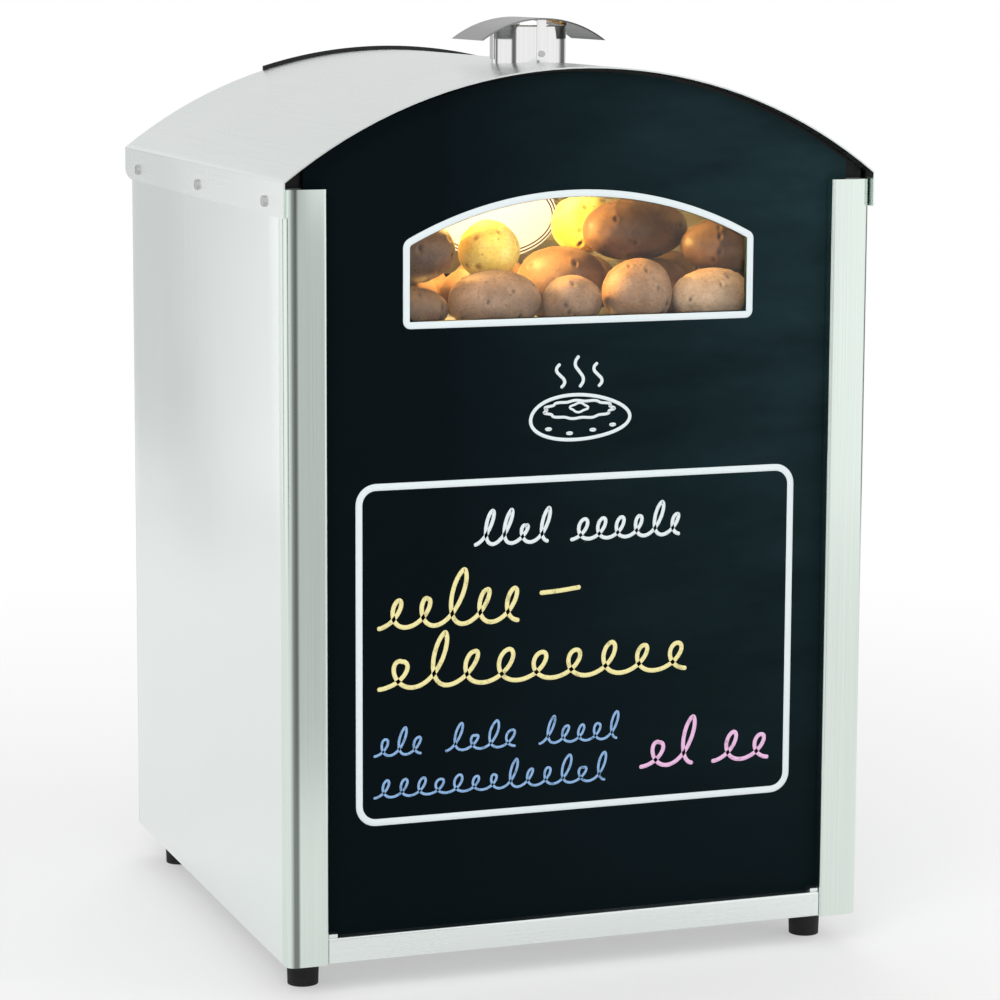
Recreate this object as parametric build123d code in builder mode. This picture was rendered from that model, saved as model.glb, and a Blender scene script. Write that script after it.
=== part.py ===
"""A counter-top baked potato oven with a heated display cabinet above the oven.

Millimetres.  +Z is up, +X is to the right seen from the customer's side, and the
customer's side faces -Y.  The origin is on the counter, under the middle of the oven.
Depths are measured backwards from the front face of the corner trims.
"""
from math import cos, radians, sin, sqrt
import os

import numpy as np
from build123d import *

os.makedirs("parts", exist_ok=True)

# ------------------------------------------------------------------ overall sizes
roof_width = 500.0  # over the roof's side flanges
body_depth = 490.0  # trim faces to the rear frame's outer face
eave_height = 649.0  # counter to the roof's eaves
arch_rise = 86.5  # eaves to the roof's crown
foot_height = 27.0

# ------------------------------------------------------------------ sheet and clearances
sheet = 1.2  # stainless body sheet
heavy_sheet = 1.5  # base pan, trims and supports
soft_gap = 0.3  # between curved faces and between separate bodies
running_gap = 0.05  # radial, shaft in its bearing
bend_gap = 1.0  # from a square edge to the inside of a folded corner
sheet_bend = 1.5  # bend radius at the middle of body sheet
heavy_bend = 2.0  # bend radius at the middle of heavy sheet

# ------------------------------------------------------------------ roof
roof_lip = 3.0  # roof edge in front of the trims
roof_overhang = 18.0  # roof edge behind the rear frame
flange_drop = 28.0
flange_corner_x = 30.0
flange_corner_z = 8.5
roof_screw_drop = 17.5  # screw centres below the eaves
roof_screw_depths = (49.5, 252.5, 459.0)

# ------------------------------------------------------------------ front
trim_radius = 8.0
trim_width = 34.5  # outer side to inner edge
trim_drop = 6.0  # trim top below the eaves
trim_return = 10.0
side_panel_start = 15.0  # depth of the side panel's front edge
rail_height = 21.0
rail_setback = 2.0
board_thickness = 4.0
board_side_gap = 19.5  # roof's outer side to the board's edge
board_crown_gap = 4.6  # roof crown to the board's crown

# ------------------------------------------------------------------ window
window_half_width = 143.3
window_rise = 35.8  # shoulders to crown
window_side = 59.2  # sill to shoulders
window_below_eave = 111.6  # eaves to the sill
window_corner = 5.0
glass_thickness = 4.0
glass_lap = 13.0

# ------------------------------------------------------------------ oven and display
control_top = 125.0  # counter to the underside of the oven's compartment
insulation = 25.0
jacket_sheet = 0.8
side_air_gap = 21.0  # side panel to oven jacket
front_bay = 70.0  # depth of the fan motor's bay
floor_below_sill = 15.0
floor_plate = 2.0
heater_bay = 27.2  # oven jacket to the display floor
liner_gap = 12.0  # roof sheet to the display liner
liner_sheet = 1.0
liner_side_gap = 28.0  # roof's outer side to the display liner's side

# ------------------------------------------------------------------ rear doors
door_overlap = 15.0
door_thickness = 25.0
gasket_thickness = 5.0
gasket_width = 7.0
handle_length = 320.0
handle_radius = 8.0
handle_standoff = 28.0  # door face to handle axis
hinge_pin_radius = 4.0
hinge_above_door_edge = 6.0
display_door_half_width = 120.0
display_opening_half_width = 108.0
display_door_rise = 3.5  # door crown above the roof's crown

# ------------------------------------------------------------------ flue
flue_depth = 136.0
flue_radius = 31.0
flue_wall = 1.2
flue_top_above_crown = 29.0
cowl_width = 108.0
cowl_depth = 73.0
cowl_rise = 18.0
cowl_above_crown = 36.0

# ------------------------------------------------------------------ worked-out places
panel_half = roof_width / 2 - sheet - soft_gap
inside_half = panel_half - sheet - bend_gap  # to a square edge between the folded side panels
roof_radius = ((roof_width / 2) ** 2 + arch_rise**2) / (2 * arch_rise)
crown = eave_height + arch_rise
arch_centre = crown - roof_radius
handle_outer_depth = body_depth + gasket_thickness + door_thickness + handle_standoff + handle_radius
front = roof_lip - (roof_lip + handle_outer_depth) / 2  # Y of the trim faces
rear = front + body_depth  # Y of the rear frame's outer face
base_top = foot_height + heavy_sheet
rail_top = foot_height + rail_height
board_y = front + side_panel_start - board_thickness
bulkhead_y = front + side_panel_start + sheet
sill = eave_height - window_below_eave
shoulder = sill + window_side
window_radius = (window_half_width**2 + window_rise**2) / (2 * window_rise)
window_centre = shoulder + window_rise - window_radius
floor_top = sill - floor_below_sill
jacket_bottom = control_top
jacket_top = floor_top - floor_plate - heater_bay
jacket_half = panel_half - sheet - side_air_gap
wall_build = jacket_sheet + insulation + sheet
cavity_half = jacket_half - wall_build
cavity_bottom = jacket_bottom + wall_build
cavity_top = jacket_top - wall_build
cavity_front = front + front_bay + wall_build
frame_inner = rear - sheet
liner_radius = roof_radius - sheet - liner_gap
liner_half = roof_width / 2 - liner_side_gap


def save(piece, node):
    """Label a finished piece and write it as one STEP file."""
    piece.label = node
    export_step(piece, f"parts/{node}.step")


def save_group(pieces, node):
    """Write several separate pieces, some of them touching, as one node."""
    save(Compound([solid for piece in pieces for solid in piece.solids()]), node)


def upright(y):
    """Plane facing the customer at depth y: local x is X and local y is Z."""
    return Plane(origin=(0, y, 0), x_dir=(1, 0, 0), z_dir=(0, -1, 0))


def arc_height(radius, x):
    """Height of an arch that shares the roof's centre, at a distance x from the middle."""
    return arch_centre + sqrt(radius**2 - x**2)


def arched_face(plane, half_width, bottom, radius):
    """An upright face with straight sides and the roof's concentric arch on top."""
    side = arc_height(radius, half_width)
    with BuildSketch(plane) as face:
        with BuildLine():
            Polyline((-half_width, side), (-half_width, bottom), (half_width, bottom), (half_width, side))
            ThreePointArc((half_width, side), (0, arch_centre + radius), (-half_width, side))
        make_face()
    return face.sketch


def window_face(plane, margin):
    """The window's outline: straight sides and a shallow arch, grown by margin."""
    half = window_half_width + margin
    radius = window_radius + margin
    side = window_centre + sqrt(radius**2 - half**2)
    with BuildSketch(plane) as face:
        with BuildLine():
            Polyline((-half, side), (-half, sill - margin), (half, sill - margin), (half, side))
            ThreePointArc((half, side), (0, window_centre + radius), (-half, side))
        make_face()
        fillet(face.vertices().group_by(Axis.Y)[0], radius=window_corner)
    return face.sketch


def folded_face(plane, points, radius, thickness):
    """The section of a folded sheet, from the middle line through its corner points."""
    with BuildSketch(plane) as face:
        with BuildLine():
            FilletPolyline(*points, radius=radius)
        trace(line_width=thickness)
    return face.sketch


def box_face(plane, x0, x1, z0, z1):
    """A plain rectangle on a plane, from corner to corner."""
    with BuildSketch(plane) as face:
        with Locations(((x0 + x1) / 2, (z0 + z1) / 2)):
            Rectangle(x1 - x0, z1 - z0)
    return face.sketch


def block(x0, x1, y0, y1, z0, z1):
    """A block between two corners."""
    with BuildPart() as piece:
        extrude(box_face(Plane.XY.offset(z0), x0, x1, y0, y1), amount=z1 - z0)
    return piece.part


def rod_x(radius, x0, x1, y, z):
    """A round rod along X."""
    with BuildPart() as rod:
        with BuildSketch(Plane.YZ.offset(x0)):
            with Locations((y, z)):
                Circle(radius)
        extrude(amount=x1 - x0)
    return rod.part


def rod_y(radius, x, y0, y1, z):
    """A round rod along Y."""
    with BuildPart() as rod:
        with BuildSketch(upright(y1)):
            with Locations((x, z)):
                Circle(radius)
        extrude(amount=y1 - y0)
    return rod.part


def rod_z(radius, x, y, z0, z1):
    """A round rod along Z."""
    with BuildPart() as rod:
        with BuildSketch(Plane.XY.offset(z0)):
            with Locations((x, y)):
                Circle(radius)
        extrude(amount=z1 - z0)
    return rod.part


# ------------------------------------------------------------------ feet and base
foot_inset = 28.0
foot_depth = 48.0
foot_radius = 13.5
foot_taper = 1.0
foot_bolt_radius = 3.0
foot_bolt_head = 5.5
foot_bolt_head_height = 4.0
foot_bolt_end = 6.0  # above the base pan's sheet
foot_nut_radius = 6.0
foot_nut_height = 4.0
foot_recess = 12.0
foot_recess_gap = 1.0
foot_x = roof_width / 2 - foot_inset
foot_places = [
    (side * foot_x, y) for side in (-1, 1) for y in (front + foot_depth, rear - foot_depth)
]

with BuildPart() as rubber_feet:
    for x, y in foot_places:
        with BuildSketch(Plane.XY):
            with Locations((x, y)):
                Circle(foot_radius - foot_taper)
        with BuildSketch(Plane.XY.offset(foot_height)):
            with Locations((x, y)):
                Circle(foot_radius)
        loft()
    for x, y in foot_places:
        add(rod_z(foot_bolt_head + foot_recess_gap, x, y, 0, foot_recess), mode=Mode.SUBTRACT)
        add(rod_z(foot_bolt_radius, x, y, 0, foot_height), mode=Mode.SUBTRACT)
save(rubber_feet.part, "rubber_feet")

with BuildPart() as foot_bolts:
    for x, y in foot_places:
        add(rod_z(foot_bolt_radius, x, y, foot_recess, base_top + foot_bolt_end))
        add(rod_z(foot_bolt_head, x, y, foot_recess - foot_bolt_head_height, foot_recess))
        with BuildSketch(Plane.XY.offset(base_top)):
            with Locations((x, y)):
                RegularPolygon(radius=foot_nut_radius, side_count=6)
        extrude(amount=foot_nut_height)

base_wall = 12.0
with BuildPart() as base_pan:
    base_front = front + side_panel_start + sheet
    base_rear = frame_inner - sheet
    add(block(-inside_half, inside_half, base_front, base_rear, foot_height, foot_height + base_wall))
    add(
        block(
            -inside_half + heavy_sheet,
            inside_half - heavy_sheet,
            base_front + heavy_sheet,
            base_rear - heavy_sheet,
            base_top,
            foot_height + base_wall,
        ),
        mode=Mode.SUBTRACT,
    )
    for x, y in foot_places:
        add(rod_z(foot_bolt_radius, x, y, foot_height, base_top), mode=Mode.SUBTRACT)
save(base_pan.part, "base_pan")

support_length = 380.0
support_flange = 30.0
support_insets = (50.0, 110.0)  # from the oven's front wall, and from the rear frame
support_places = (front + front_bay + support_insets[0], rear - support_insets[1])
with BuildPart() as oven_supports:
    for y in support_places:
        section = (
            (y + support_flange, base_top + heavy_sheet / 2),
            (y, base_top + heavy_sheet / 2),
            (y, jacket_bottom - heavy_sheet / 2),
            (y + support_flange, jacket_bottom - heavy_sheet / 2),
        )
        face = folded_face(Plane.YZ.offset(-support_length / 2), section, heavy_bend, heavy_sheet)
        extrude(face, amount=support_length)
save(oven_supports.part, "oven_supports")


# ------------------------------------------------------------------ outer panels
def corner_trim(side):
    """A folded stainless trim round one front corner."""
    outer = side * (panel_half - heavy_sheet / 2)
    inner = side * (panel_half - trim_width + heavy_sheet / 2)
    face = front + heavy_sheet / 2
    section = (
        (inner, front + trim_return),
        (inner, face),
        (outer, face),
        (outer, front + side_panel_start),
    )
    radii = (heavy_bend, trim_radius - heavy_sheet / 2)
    with BuildPart() as trim:
        sketch = folded_face(Plane.XY.offset(foot_height), section, radii, heavy_sheet)
        extrude(sketch, amount=eave_height - trim_drop - foot_height)
    return trim.part


left_corner_trim = corner_trim(-1)
save(left_corner_trim, "left_corner_trim")
right_corner_trim = corner_trim(1)
save(right_corner_trim, "right_corner_trim")


front_return = 23.0  # widths of the side panels' folded edges
rear_return = 16.0
roof_screw_radius = 2.0
roof_screw_hole = 2.2
roof_screw_head = 4.6
roof_screw_head_height = 2.4
roof_screw_length = 8.0
screw_radius = 1.9
screw_hole = 2.1
screw_head = 4.0
screw_head_height = 2.2
screw_length = 7.0
head_rounding = 0.4  # of a screw head's height
frame_screw_inset = 9.0
frame_screw_ends = (60.0, 43.0)  # lowest above the control compartment, highest below the eaves
frame_screw_low = control_top + frame_screw_ends[0]
frame_screw_high = eave_height - frame_screw_ends[1]
frame_screw_places = [
    (side * (panel_half - frame_screw_inset), z)
    for side in (-1, 1)
    for z in (frame_screw_low, (frame_screw_low + frame_screw_high) / 2, frame_screw_high)
]


def side_panel(side):
    """A flat side with its front and rear edges folded inwards."""
    outer = side * (panel_half - sheet / 2)
    front_edge = side * (panel_half - front_return)
    rear_edge = side * (panel_half - rear_return)
    section = (
        (front_edge, front + side_panel_start + sheet / 2),
        (outer, front + side_panel_start + sheet / 2),
        (outer, frame_inner - sheet / 2),
        (rear_edge, frame_inner - sheet / 2),
    )
    screw_z = eave_height - roof_screw_drop
    with BuildPart() as panel:
        face = folded_face(Plane.XY.offset(foot_height), section, sheet_bend, sheet)
        extrude(face, amount=eave_height - trim_drop - foot_height)
        for depth in roof_screw_depths:
            hole = rod_x(roof_screw_hole, 0, roof_width / 2, front + depth, screw_z)
            add(hole if side > 0 else mirror(hole, about=Plane.YZ), mode=Mode.SUBTRACT)
        for x, z in frame_screw_places:
            if x * side > 0:
                add(rod_y(screw_hole, x, frame_inner - sheet, frame_inner, z), mode=Mode.SUBTRACT)
    return panel.part


save(side_panel(-1), "left_side_panel")
save(side_panel(1), "right_side_panel")

with BuildPart() as front_rail:
    rail_half = panel_half - trim_width - soft_gap
    rail_section = (
        (front + side_panel_start + sheet, foot_height + sheet / 2),
        (front + rail_setback + sheet / 2, foot_height + sheet / 2),
        (front + rail_setback + sheet / 2, rail_top - sheet / 2),
        (front + side_panel_start + sheet, rail_top - sheet / 2),
    )
    face = folded_face(Plane.YZ.offset(-rail_half), rail_section, sheet_bend, sheet)
    extrude(face, amount=2 * rail_half)
save(front_rail.part, "front_rail")

# ------------------------------------------------------------------ roof
roof_y0 = front - roof_lip
roof_y1 = rear + roof_overhang
flange_bottom = eave_height - flange_drop
roof_inner_half = roof_width / 2 - sheet
with BuildPart() as roof_cover:
    outer_face = arched_face(upright(roof_y1), roof_width / 2, flange_bottom, roof_radius)
    inner_face = arched_face(upright(roof_y1), roof_inner_half, flange_bottom, roof_radius - sheet)
    extrude(outer_face, amount=roof_y1 - roof_y0)
    extrude(inner_face, amount=roof_y1 - roof_y0, mode=Mode.SUBTRACT)
    with BuildSketch(Plane.YZ.offset(-roof_width / 2)):
        with BuildLine():
            Line((roof_y1, flange_bottom), (roof_y1, flange_bottom + flange_corner_z))
            EllipticalCenterArc(
                (roof_y1 - flange_corner_x, flange_bottom + flange_corner_z),
                flange_corner_x,
                flange_corner_z,
                start_angle=270,
                arc_size=90,
            )
            Line((roof_y1 - flange_corner_x, flange_bottom), (roof_y1, flange_bottom))
        make_face()
    extrude(amount=roof_width, mode=Mode.SUBTRACT)
    add(
        rod_z(flue_radius + soft_gap, 0, front + flue_depth, eave_height, crown),
        mode=Mode.SUBTRACT,
    )
    for depth in roof_screw_depths:
        screw_z = eave_height - roof_screw_drop
        hole = rod_x(roof_screw_hole, -roof_width / 2, roof_width / 2, front + depth, screw_z)
        add(hole, mode=Mode.SUBTRACT)
save(roof_cover.part, "roof_cover")


def screws_x(places, surface):
    """Pan-head screws on both sides of the body, heads out, at (y, z) places."""
    with BuildPart() as group:
        for y, z in places:
            add(rod_x(roof_screw_radius, surface - roof_screw_length, surface, y, z))
            with BuildSketch(Plane.YZ.offset(surface)):
                with Locations((y, z)):
                    Circle(roof_screw_head)
            extrude(amount=roof_screw_head_height)
        heads = group.faces().filter_by(Axis.X).sort_by(Axis.X)[-len(places):]
        fillet(heads.edges(), radius=roof_screw_head_height * head_rounding)
        mirror(about=Plane.YZ)
    return group.part


def screws_y(places, surface, length):
    """Pan-head screws driven forwards into a rear surface, at (x, z) places."""
    with BuildPart() as group:
        for x, z in places:
            add(rod_y(screw_radius, x, surface - length, surface, z))
            add(rod_y(screw_head, x, surface, surface + screw_head_height, z))
        heads = group.faces().filter_by(Axis.Y).sort_by(Axis.Y)[-len(places):]
        fillet(heads.edges(), radius=screw_head_height * head_rounding)
    return group.part


roof_screw_places = [(front + depth, eave_height - roof_screw_drop) for depth in roof_screw_depths]
roof_screws = screws_x(roof_screw_places, roof_width / 2)

# ------------------------------------------------------------------ front board and window
board_half = roof_width / 2 - board_side_gap
board_radius = roof_radius - board_crown_gap
with BuildPart() as front_board:
    back = upright(board_y + board_thickness)
    extrude(arched_face(back, board_half, rail_top, board_radius), amount=board_thickness)
    extrude(window_face(back, 0), amount=board_thickness, mode=Mode.SUBTRACT)
save(front_board.part, "front_board")

clip_width = 7.0
clip_height = 3.0
clip_inset = 0.7  # trim's inner edge to the clip
clip_x = panel_half - trim_width - clip_inset
with BuildPart() as board_clips:
    add(
        block(
            clip_x - clip_width,
            clip_x,
            front + rail_setback + sheet,
            board_y,
            rail_top,
            rail_top + clip_height,
        )
    )
    mirror(about=Plane.YZ)

glass_y0 = board_y + board_thickness
glass_y1 = glass_y0 + glass_thickness
with BuildPart() as window_glass:
    extrude(window_face(upright(glass_y1), glass_lap), amount=glass_thickness)
save(window_glass.part, "window_glass")

bulkhead_y1 = bulkhead_y + sheet
bulkhead_radius = roof_radius - sheet - soft_gap
with BuildPart() as front_bulkhead:
    back = upright(bulkhead_y1)
    extrude(arched_face(back, inside_half, foot_height + base_wall, bulkhead_radius), amount=sheet)
    extrude(window_face(back, glass_lap + soft_gap), amount=sheet, mode=Mode.SUBTRACT)
save(front_bulkhead.part, "front_bulkhead")

glass_clip_half = 8.0
glass_clip_foot = 12.0
glass_clip_reach = 8.0
glass_clip_inset = 45.0  # glass corner to the lower clips
with BuildPart() as glass_clips:
    half = window_half_width + glass_lap
    for x in (-half + glass_clip_inset, half - glass_clip_inset):
        x0, x1 = (x - glass_clip_half, x + glass_clip_half)
        z = sill - glass_lap
        add(block(x0, x1, bulkhead_y1, glass_y1 + sheet, z - glass_clip_foot, z))
        add(block(x0, x1, glass_y1, glass_y1 + sheet, z, z + glass_clip_reach))
    for side in (-1, 1):
        z0 = (sill + shoulder) / 2 - glass_clip_half
        z1 = z0 + 2 * glass_clip_half
        x0, x1 = sorted((side * half, side * (half + glass_clip_foot)))
        add(block(x0, x1, bulkhead_y1, glass_y1 + sheet, z0, z1))
        x0, x1 = sorted((side * (half - glass_clip_reach), side * half))
        add(block(x0, x1, glass_y1, glass_y1 + sheet, z0, z1))
save_group([board_clips.part, glass_clips.part], "board_clips")

# ------------------------------------------------------------------ display cabinet
liner_bottom = jacket_top
with BuildPart() as display_liner:
    back = upright(frame_inner)
    length = frame_inner - bulkhead_y1
    extrude(arched_face(back, liner_half, liner_bottom, liner_radius), amount=length)
    inner = arched_face(back, liner_half - liner_sheet, liner_bottom, liner_radius - liner_sheet)
    extrude(inner, amount=length, mode=Mode.SUBTRACT)
    add(rod_z(flue_radius + soft_gap, 0, front + flue_depth, eave_height, crown), mode=Mode.SUBTRACT)
save(display_liner.part, "display_liner")

tray_front_gap = 2.0
tray_rear_gap = 3.0
vent_radius = 3.0
vent_pitch = 40.0
vent_columns = 10
vent_rows = 11
tray_half = liner_half - liner_sheet - soft_gap
tray_y0 = glass_y1 + sheet + tray_front_gap
tray_y1 = frame_inner - tray_rear_gap
with BuildPart() as display_floor:
    add(block(-tray_half, tray_half, tray_y0, tray_y1, jacket_top, floor_top))
    add(
        block(
            -tray_half + floor_plate,
            tray_half - floor_plate,
            tray_y0,
            tray_y1,
            jacket_top,
            floor_top - floor_plate,
        ),
        mode=Mode.SUBTRACT,
    )
    with Locations((0, (tray_y0 + tray_y1) / 2, floor_top - floor_plate / 2)):
        with GridLocations(vent_pitch, vent_pitch, vent_columns, vent_rows):
            Cylinder(radius=vent_radius, height=floor_plate, mode=Mode.SUBTRACT)
save(display_floor.part, "display_floor")

element_radius = 4.0
element_half = 90.0
element_bend = 40.0
element_inset = 90.0  # trim faces, or rear frame, to the element's ends
element_drop = 12.0  # below the display floor's plate
element_y0 = front + element_inset
element_y1 = rear - element_inset
element_z = floor_top - floor_plate - element_drop
with BuildPart() as display_element:
    with BuildLine() as element_path:
        FilletPolyline(
            (-element_half, element_y1, element_z),
            (-element_half, element_y0, element_z),
            (element_half, element_y0, element_z),
            (element_half, element_y1, element_z),
            radius=element_bend,
        )
    with BuildSketch(Plane(origin=element_path.line @ 0, z_dir=element_path.line % 0)):
        Circle(element_radius)
    sweep(path=element_path.line)
save(display_element.part, "display_element")

element_clip_half = 8.0
element_clip_depth = 10.0
element_clip_places = (element_y0 + 55.0, element_y1 - 45.0)  # front edges of the clips
with BuildPart() as element_clips:
    for x in (-element_half, element_half):
        for y0 in element_clip_places:
            y1 = y0 + element_clip_depth
            x0, x1 = (x - element_clip_half, x + element_clip_half)
            add(block(x0, x1, y0, y1, element_z - element_clip_half, floor_top - floor_plate))
            add(rod_y(element_radius + soft_gap, x, y0, y1, element_z), mode=Mode.SUBTRACT)
save(element_clips.part, "element_clips")

lamp_x = -60.0
lamp_depth = 120.0
lamp_y = front + lamp_depth
holder_half = 12.0
holder_height = 18.0
holder_top = arc_height(liner_radius - liner_sheet, abs(lamp_x) + holder_half) - soft_gap
lamp_radius = 11.0
lamp_length = 42.0
lamp_cap_radius = 6.0
lamp_cap_length = 8.0
lamp_shoulder = 14.0  # holder to the full width of the bulb
with BuildPart() as lamp_holder:
    add(
        block(
            lamp_x - holder_half,
            lamp_x + holder_half,
            lamp_y - holder_half,
            lamp_y + holder_half,
            holder_top - holder_height,
            holder_top,
        )
    )
save(lamp_holder.part, "lamp_holder")

with BuildPart() as display_lamp:
    with BuildSketch(Plane((lamp_x, lamp_y, holder_top - holder_height), (1, 0, 0), (0, -1, 0))):
        with BuildLine():
            Polyline(
                (0, -lamp_length),
                (0, 0),
                (lamp_cap_radius, 0),
                (lamp_cap_radius, -lamp_cap_length),
                (lamp_radius, -lamp_shoulder),
                (lamp_radius, lamp_radius - lamp_length),
            )
            RadiusArc((lamp_radius, lamp_radius - lamp_length), (0, -lamp_length), lamp_radius)
        make_face()
    revolve(axis=Axis((lamp_x, lamp_y, 0), (0, 0, 1)))
save(display_lamp.part, "display_lamp")

sign_x = 30.0
sign_depth = 300.0
sign_half_width = 58.0
sign_half_height = 36.5
sign_rise = 73.0  # display floor to the plate's middle
sign_centre = floor_top + sign_rise
sign_sheet = 1.5
sign_stem_half = 11.0
sign_foot_depth = 30.0
with BuildPart() as sign_plate:
    with BuildSketch(upright(front + sign_depth)):
        with Locations((sign_x, sign_centre)):
            Ellipse(sign_half_width, sign_half_height)
        with Locations((sign_x, (floor_top + sign_centre) / 2)):
            Rectangle(2 * sign_stem_half, sign_centre - floor_top)
    extrude(amount=sign_sheet)
    x0, x1 = (sign_x - sign_stem_half, sign_x + sign_stem_half)
    y0, y1 = (front + sign_depth, front + sign_depth + sign_foot_depth)
    add(block(x0, x1, y0, y1, floor_top, floor_top + sign_sheet))
save(sign_plate.part, "sign_plate")

# ------------------------------------------------------------------ oven box
fan_z = (cavity_bottom + cavity_top) / 2
shaft_radius = 4.0
wall_hole = 8.0  # radius of the shaft's hole in the jacket and the insulation
shaft_hole_gap = 2.0
oven_wall_y = front + front_bay


def open_box(half, y0, bottom, top, wall):
    """A box open at the rear frame: floor, roof, two sides and a front wall."""
    with BuildPart() as shell:
        add(block(-half, half, y0, frame_inner, bottom, top))
        add(
            block(-half + wall, half - wall, y0 + wall, frame_inner, bottom + wall, top - wall),
            mode=Mode.SUBTRACT,
        )
    return shell.part


element_ring_radius = 78.0
element_leg_x = 14.0
element_leg_z = fan_z - sqrt(element_ring_radius**2 - element_leg_x**2)


def pierce_front(piece, shaft_hole):
    """Cut the fan shaft's hole and the ring element's two leg holes through the front wall."""
    with BuildPart() as pierced:
        add(piece)
        add(rod_y(shaft_hole, 0, oven_wall_y, cavity_front, fan_z), mode=Mode.SUBTRACT)
        for x in (-element_leg_x, element_leg_x):
            hole = rod_y(element_radius + soft_gap, x, oven_wall_y, cavity_front, element_leg_z)
            add(hole, mode=Mode.SUBTRACT)
    return pierced.part


jacket = open_box(jacket_half, oven_wall_y, jacket_bottom, jacket_top, jacket_sheet)
save(pierce_front(jacket, wall_hole), "oven_jacket")

slab_half = jacket_half - jacket_sheet
slab_y0 = oven_wall_y + jacket_sheet
slab_bottom = jacket_bottom + jacket_sheet
slab_top = jacket_top - jacket_sheet
slabs = open_box(slab_half, slab_y0, slab_bottom, slab_top, insulation)
save(pierce_front(slabs, wall_hole), "oven_insulation")

liner_y0 = slab_y0 + insulation
liner_out_half = slab_half - insulation
oven_shell = open_box(liner_out_half, liner_y0, slab_bottom + insulation, slab_top - insulation, sheet)
save(pierce_front(oven_shell, shaft_radius + shaft_hole_gap), "oven_liner")

# ------------------------------------------------------------------ fan and ring element
motor_radius = 34.0
motor_length = 42.0
motor_rounding = 5.0
motor_plate = 2.0
motor_plate_half_width = 55.0
motor_plate_half_height = 40.0
motor_y1 = oven_wall_y - motor_plate
shaft_inset = 14.0  # motor's front end to the shaft's end
shaft_y0 = motor_y1 - motor_length + shaft_inset
impeller_gap = 7.0  # cavity's front wall to the impeller
impeller_y0 = cavity_front + impeller_gap
impeller_depth = 22.0
impeller_radius = 60.0
hub_radius = 10.0
fan_nut_radius = 7.5
fan_nut_height = 6.0
shaft_y1 = impeller_y0 + impeller_depth + fan_nut_height
with BuildPart() as fan_motor:
    add(rod_y(motor_radius, 0, motor_y1 - motor_length, motor_y1, fan_z))
    fillet(fan_motor.edges().filter_by(GeomType.CIRCLE).group_by(Axis.Y)[0], radius=motor_rounding)
    add(rod_y(shaft_radius + running_gap, 0, shaft_y0 - 1, motor_y1, fan_z), mode=Mode.SUBTRACT)

with BuildPart() as motor_bracket:
    z0, z1 = (fan_z - motor_plate_half_height, fan_z + motor_plate_half_height)
    add(block(-motor_plate_half_width, motor_plate_half_width, motor_y1, oven_wall_y, z0, z1))
    add(rod_y(wall_hole, 0, motor_y1, oven_wall_y, fan_z), mode=Mode.SUBTRACT)
save_group([fan_motor.part, motor_bracket.part], "fan_motor")

fan_shaft = rod_y(shaft_radius, 0, shaft_y0, shaft_y1, fan_z)

blade_count = 8
blade_length = 34.0
with BuildPart() as fan_impeller:
    add(rod_y(impeller_radius, 0, impeller_y0, impeller_y0 + sheet, fan_z))
    add(rod_y(hub_radius, 0, impeller_y0, impeller_y0 + impeller_depth, fan_z))
    with BuildSketch(upright(impeller_y0 + impeller_depth)):
        with Locations((0, fan_z)):
            with PolarLocations(radius=impeller_radius - blade_length / 2, count=blade_count):
                Rectangle(blade_length, sheet)
    extrude(amount=impeller_depth)
    add(rod_y(shaft_radius, 0, impeller_y0, impeller_y0 + impeller_depth, fan_z), mode=Mode.SUBTRACT)
save(fan_impeller.part, "fan_impeller")

with BuildPart() as fan_nut:
    with BuildSketch(upright(shaft_y1)):
        with Locations((0, fan_z)):
            RegularPolygon(radius=fan_nut_radius, side_count=6)
            Circle(shaft_radius, mode=Mode.SUBTRACT)
    extrude(amount=fan_nut_height)
save_group([fan_shaft, fan_nut.part], "fan_shaft")

element_leg_end = 8.0  # in front of the jacket
ring_y = impeller_y0 + impeller_depth / 2
with BuildPart() as ring_element:
    with BuildSketch(Plane.YZ):
        with Locations((ring_y, fan_z + element_ring_radius)):
            Circle(element_radius)
    revolve(axis=Axis((0, 0, fan_z), (0, 1, 0)))
    for x in (-element_leg_x, element_leg_x):
        add(rod_y(element_radius, x, oven_wall_y - element_leg_end, ring_y, element_leg_z))
save(ring_element.part, "ring_element")

baffle_gap = 12.0  # impeller to the baffle's face
baffle_side_gap = 16.0
baffle_end_gap = 8.0  # above and below the baffle
baffle_y = impeller_y0 + impeller_depth + baffle_gap
baffle_half = cavity_half - baffle_side_gap
intake_pitch = 15.0
intake_rings = 3
intake_first_count = 6
intake_radius = 4.5
with BuildPart() as fan_baffle:
    bottom = cavity_bottom + baffle_end_gap
    top = cavity_top - baffle_end_gap
    add(block(-baffle_half, baffle_half, cavity_front, baffle_y + sheet, bottom, top))
    add(
        block(-baffle_half + sheet, baffle_half - sheet, cavity_front, baffle_y, bottom, top),
        mode=Mode.SUBTRACT,
    )
    for ring in range(1, intake_rings + 1):
        with BuildSketch(upright(baffle_y + sheet)):
            with Locations((0, fan_z)):
                with PolarLocations(radius=ring * intake_pitch, count=ring * intake_first_count):
                    Circle(intake_radius)
        extrude(amount=sheet, mode=Mode.SUBTRACT)
save(fan_baffle.part, "fan_baffle")

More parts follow.
